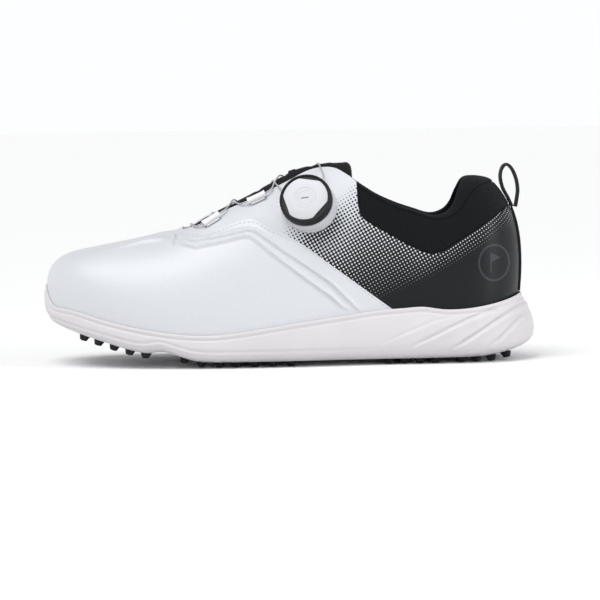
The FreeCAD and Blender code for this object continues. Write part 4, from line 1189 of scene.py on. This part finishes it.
def make_guide(node, inner_side, x_front):
    seat, along, across, normal = guide_frame(inner_side, x_front)
    half = GUIDE_LENGTH / 2
    inner = [(1.55, -half), (1.2, -half * 0.8), (1.1, 0), (1.2, half * 0.8), (1.55, half)]
    outer = [(1.85, half), (1.9, half * 0.93), (1.72, half * 0.72), (1.62, 0),
             (1.72, -half * 0.72), (1.9, -half * 0.93), (1.85, -half)]
    bm = spun(inner + outer, 28)
    raise_it = frame_matrix(seat + normal * GUIDE_DEPTH / 2, across, normal, along)
    bm.transform(raise_it @ Matrix.Diagonal((1.3, 1, 1, 1)))
    foot = bmesh.ops.create_cube(bm, size=1, matrix=frame_matrix(seat + normal * 0.45, across,
                                                                 normal, along)
                                 @ Matrix.Diagonal((GUIDE_FACE, 0.9, GUIDE_LENGTH - 2.5, 1)))
    edges = {e for v in foot["verts"] for e in v.link_edges}
    round_edges(bm, edges, 0.35, 3)
    face_outwards(bm)
    add_piece(node.replace("lace_guide", "lace_tunnel"), bm, white_plastic, [node])


for guide, (inner_side, x_front) in GUIDES.items():
    make_guide(guide, inner_side, x_front)

# %% [markdown]
# ## The reel
#
# The dial is spun parts on one axis, tilted with the quarter: a white base ring, a black grip
# with fine ribs, and a white cap whose disc is cut flat in three places. The grip and cap are
# on the knob's body, so they lift and turn with it.

# %% Reel
REEL = frame_matrix(REEL_CENTRE, REEL_ACROSS, REEL_UP, REEL_AXIS)
RIBS = 46


def grip_rib(angle, height, radius):
    """Ribs round the grip's outer wall, in shares of the radius."""
    if radius < 15 or not 6.9 < height < 11.6:
        return 1.0
    return 1 - 0.028 * (0.5 - 0.5 * math.cos(RIBS * angle)) ** 2


def make_reel():
    ring = spun([(13.7, -2.4), (13.7, 5.7), (14.0, 6.0), (15.6, 6.0), (16.1, 5.85), (16.3, 5.4),
                 (16.55, 2.4), (16.7, 1.4), (16.7, -3.6), (0.0001, -3.6), (0.0001, -2.4)], 96)
    ring.transform(REEL)
    add_piece("reel_ring", ring, cap_plastic, ["dial_base"], crease=30)
    grip = spun([(14.5, 6.5), (15.3, 6.5), (15.75, 6.8), (15.85, 7.2), (15.85, 8.5), (15.85, 10),
                 (15.85, 11), (15.6, 11.6), (15.0, 12.1), (14.7, 12.2), (14.5, 12.1)],
                RIBS * 8, grip_rib)
    grip.transform(REEL)
    add_piece("reel_grip", grip, black_plastic, ["dial_grip"], "knob", 35)
    cap = spun([(0.0001, 11.5), (13.6, 11.5), (13.6, 11.9), (13.45, 12.25), (13.1, 12.42),
                (9.4, 12.86), (9.0, 12.9), (6.7, 12.9), (6.6, 12.78), (6.3, 12.78), (6.2, 12.9),
                (4.7, 12.9), (4.6, 12.78), (4.3, 12.78), (4.2, 12.9), (0.0001, 12.9)], 144)
    for turn in (82, 202, 322):
        aim = Vector((math.cos(math.radians(turn)), math.sin(math.radians(turn)), 0))
        cut = bmesh.ops.bisect_plane(cap, geom=cap.verts[:] + cap.edges[:] + cap.faces[:],
                                     plane_co=aim * 11.9, plane_no=aim, clear_outer=True)
        rim = [e for e in cut["geom_cut"] if isinstance(e, bmesh.types.BMEdge)]
        bmesh.ops.holes_fill(cap, edges=rim, sides=0)
    cap.transform(REEL)
    add_piece("reel_cap", cap, cap_plastic, ["dial_cap"], "knob", 30)
    bar = bmesh.new()
    bmesh.ops.create_cube(bar, size=1, matrix=REEL @ Matrix.Translation((0, 0, 12.92))
                          @ Matrix.Rotation(math.radians(8), 4, "Z")
                          @ Matrix.Diagonal((4.6, 0.9, 0.12, 1)))
    add_piece("reel_bar", bar, grey_ink, (), "knob")


grey_ink = moulded("bar_ink", (0.22, 0.22, 0.23), 0.5, 900.0, 0.00001)
make_reel()

# %% [markdown]
# ## Webbing at the heel
#
# The pull loop is a flat woven tape folded over and sewn down, and a narrower tape runs on
# down the back. The loop is a grid wrapped round its section and led along a smooth path.

# %% Webbing
LOOP_PATH = np.array([(137, 92.9), (134.5, 98.4), (131.4, 104.4), (130, 111), (131.1, 116.3),
                      (133.9, 118.5), (137.2, 115.6), (139.7, 109.4), (140.6, 103.2), (140, 97.6),
                      (139.1, 92.7)], float)
LOOP_WIDTH, WEBBING = 11.0, 1.8


def path_point(share):
    """A point of a smooth curve through the path."""
    last = len(LOOP_PATH) - 1
    place = np.clip(share, 0, 1) * last
    i = np.minimum(place.astype(int), last - 1)
    f = (place - i)[:, None]
    padded = np.vstack([2 * LOOP_PATH[0] - LOOP_PATH[1], LOOP_PATH,
                        2 * LOOP_PATH[-1] - LOOP_PATH[-2]])
    a, b, c, d = (padded[i + k] for k in range(4))
    return (b * 2 + (c - a) * f + (2 * a - 5 * b + 4 * c - d) * f ** 2
            + (3 * b - a - 3 * c + d) * f ** 3) / 2


def loop_at(s, t):
    point = path_point(s)
    ahead = path_point(s + 0.004) - path_point(s - 0.004)
    ahead = ahead / np.linalg.norm(ahead, axis=1, keepdims=True)
    angle = 2 * math.pi * t
    across = np.sign(np.cos(angle)) * np.abs(np.cos(angle)) ** 0.25 * LOOP_WIDTH / 2
    out = np.sign(np.sin(angle)) * np.abs(np.sin(angle)) ** 0.6 * WEBBING / 2
    return np.stack([point[:, 0] + ahead[:, 1] * out, across, point[:, 1] - ahead[:, 0] * out],
                    -1)


def webbing_finish():
    finish = Finish("webbing", Specular_IOR_Level=0.2, Sheen_Weight=0.03)
    x, y, z = finish.axes(finish.place())
    rib = (z * (2 * math.pi / 0.0013)).cos()
    ends = (y * (2 * math.pi / 0.0009)).cos()
    height = rib * 0.5 + ends * 0.35
    # Painted light: the weave's raised ribs are painted lighter and its hollows darker, as highlight
    # and shade.
    colour = finish.tint(height.ramp(-0.6, 0.8), (0.005, 0.005, 0.006), (0.022, 0.023, 0.026))
    finish.relief(height, 0.00018, 0.8)
    return finish.show(Base_Color=colour, Roughness=0.66 + height * 0.06)


webbing = webbing_finish()
loop_mesh = face_outwards(close_ends(bent_grid(160, 48, loop_at, weld=True)))
add_piece("pull_loop", loop_mesh, webbing, ["heel_loop"], crease=50)

# %% [markdown]
# ## Stitches
#
# A row of lockstitch holds the overlay along the throat. Each stitch is a short rounded
# thread half sunk in the leather, so it is a small stretched ball, set along the edge and
# turned with it.

# %% Stitches
thread = moulded("thread", (0.50, 0.51, 0.54), 0.6, 2500.0)
STITCH_PITCH, STITCH_LENGTH, STITCH_INSET = 2.7, 1.7, 2.0


def stitch_row(bm, inner_side):
    x = np.linspace(-60.0, 67.0, 600)
    z = overlay_edge.at(x) - STITCH_INSET
    slope = np.gradient(z, x)
    x = x - STITCH_INSET * slope * 0.7
    length = np.concatenate([[0], np.cumsum(np.hypot(np.diff(x), np.diff(z)))])
    marks = np.arange(0, length[-1], STITCH_PITCH)
    x, z = np.interp(marks, length, x), np.interp(marks, length, z)
    u, lift = locate(x, z, inner_side)
    points, normals = last_point(u, lift, -1.28), outward(u, lift)
    for index in range(1, len(marks) - 1):
        normal = out_of_the_shoe(normals[index], points[index])
        along = Vector(points[index + 1] - points[index - 1]).normalized()
        across = normal.cross(along).normalized()
        shape = Matrix.Diagonal((STITCH_LENGTH / 2, 0.3, 0.3, 1))
        place = frame_matrix(Vector(points[index]), along, across, normal)
        bmesh.ops.create_icosphere(bm, subdivisions=1, radius=1, matrix=place @ shape)
    return len(marks) - 2


stitches = bmesh.new()
print("stitches:", [stitch_row(stitches, inner_side) for inner_side in (False, True)])
add_piece("overlay_stitches", stitches, thread, ())

# %% [markdown]
# ## Finishes of the parts that keep their CAD shape
#
# Inside the shoe and inside the reel the CAD shapes are already right, so they only need
# their own surface. The lining is a mesh cloth with round openings, which carry a painted
# shade; the sockliner has a fine felt; metals are turned or plated, so they show faint rings
# of wear.

# %% More finishes


def mesh_lining():
    finish = Finish("mesh_lining", Specular_IOR_Level=0.25, Sheen_Weight=0.3)
    holes = finish.pebbles(finish.place(), 620.0)
    thread_share = holes.ramp(0.25, 0.5)
    # Painted shade: the openings are painted near-black, standing for the shade seen through them.
    colour = finish.tint(thread_share, (0.006, 0.006, 0.007), (0.035, 0.036, 0.040))
    finish.relief(thread_share, 0.0002, 0.7)
    return finish.show(Base_Color=colour, Roughness=0.8 + thread_share * 0.1)


def metal(name, colour, roughness):
    finish = Finish(name, Metallic=1.0)
    place = finish.place()
    wear = finish.noise(place, 900.0, 4.0)
    shade = finish.tint(wear, tuple(c * 0.8 for c in colour), colour)
    finish.relief(wear, 0.00002, 0.4)
    return finish.show(Base_Color=shade, Roughness=roughness + wear * 0.15)


def twisted_wire():
    finish = Finish("coated_wire", Metallic=0.35)
    place = finish.place()
    x, y, z = finish.axes(place)
    twist = ((x + y * 0.8 + z * 0.6) * (2 * math.pi / 0.0011)).cos()
    # Painted light: the strand crests are painted lighter and the grooves between them darker, as
    # highlight and shade.
    shade = finish.tint(twist.ramp(-0.8, 0.8), (0.30, 0.30, 0.32), (0.68, 0.69, 0.72))
    finish.relief(twist, 0.00006, 0.7)
    return finish.show(Base_Color=shade, Roughness=0.34 + twist * 0.04)


lining = mesh_lining()
felt = moulded("sockliner_felt", (0.030, 0.031, 0.034), 0.85, 2600.0, 0.00012)
steel = metal("steel", (0.62, 0.62, 0.63), 0.26)
brass = metal("brass", (0.78, 0.60, 0.28), 0.24)
board = moulded("fibre_board", (0.36, 0.28, 0.19), 0.75, 1500.0, 0.00008)
stiffener = moulded("stiffener", (0.55, 0.52, 0.45), 0.7, 1500.0, 0.00006)
grey_foam = moulded("grey_foam", (0.20, 0.21, 0.22), 0.85, 2200.0, 0.0001)
wire = twisted_wire()

KEPT = {
    "quarter_lining": lining, "vamp_lining": lining, "vamp_backing": grey_foam,
    "insole_cover": felt, "insole": grey_foam,
    "strobel_board": board, "shank": steel, "toe_puff": stiffener, "heel_counter": stiffener,
    "heel_strip": webbing, "tongue_lace_keeper": webbing, "lace": wire, "lace_on_spool": wire,
    "dial_housing": black_plastic, "dial_spool": black_plastic, "dial_pawl_disc": black_plastic,
    "dial_knob_core": black_plastic, "dial_screw": steel, "dial_detent_bushing": brass,
}
for name, material in KEPT.items():
    refinish(material, name)

# %% [markdown]
# ## Floor and the end
#
# The floor is one large pale plane under the studs.

# %% Floor


def make_floor():
    finish = Finish("studio_floor", Specular_IOR_Level=0.2)
    slow = finish.noise(finish.place(), 3.0, 2.0)
    shade = finish.tint(slow, (0.90, 0.90, 0.90), (0.905, 0.905, 0.905))
    material = finish.show(Base_Color=shade, Roughness=0.8 + slow * 0.1)
    bm = bmesh.new()
    low = cad_box[0][2]
    bmesh.ops.create_grid(bm, x_segments=2, y_segments=2, size=30,
                          matrix=Matrix.Translation((0, 0, low)))
    mesh = bpy.data.meshes.new("floor")
    bm.to_mesh(mesh)
    bm.free()
    mesh.materials.append(material)
    floor = bpy.data.objects.new("floor", mesh)
    bpy.context.scene.collection.objects.link(floor)
    print("floor at", round(low / MM, 2), "mm")


make_floor()
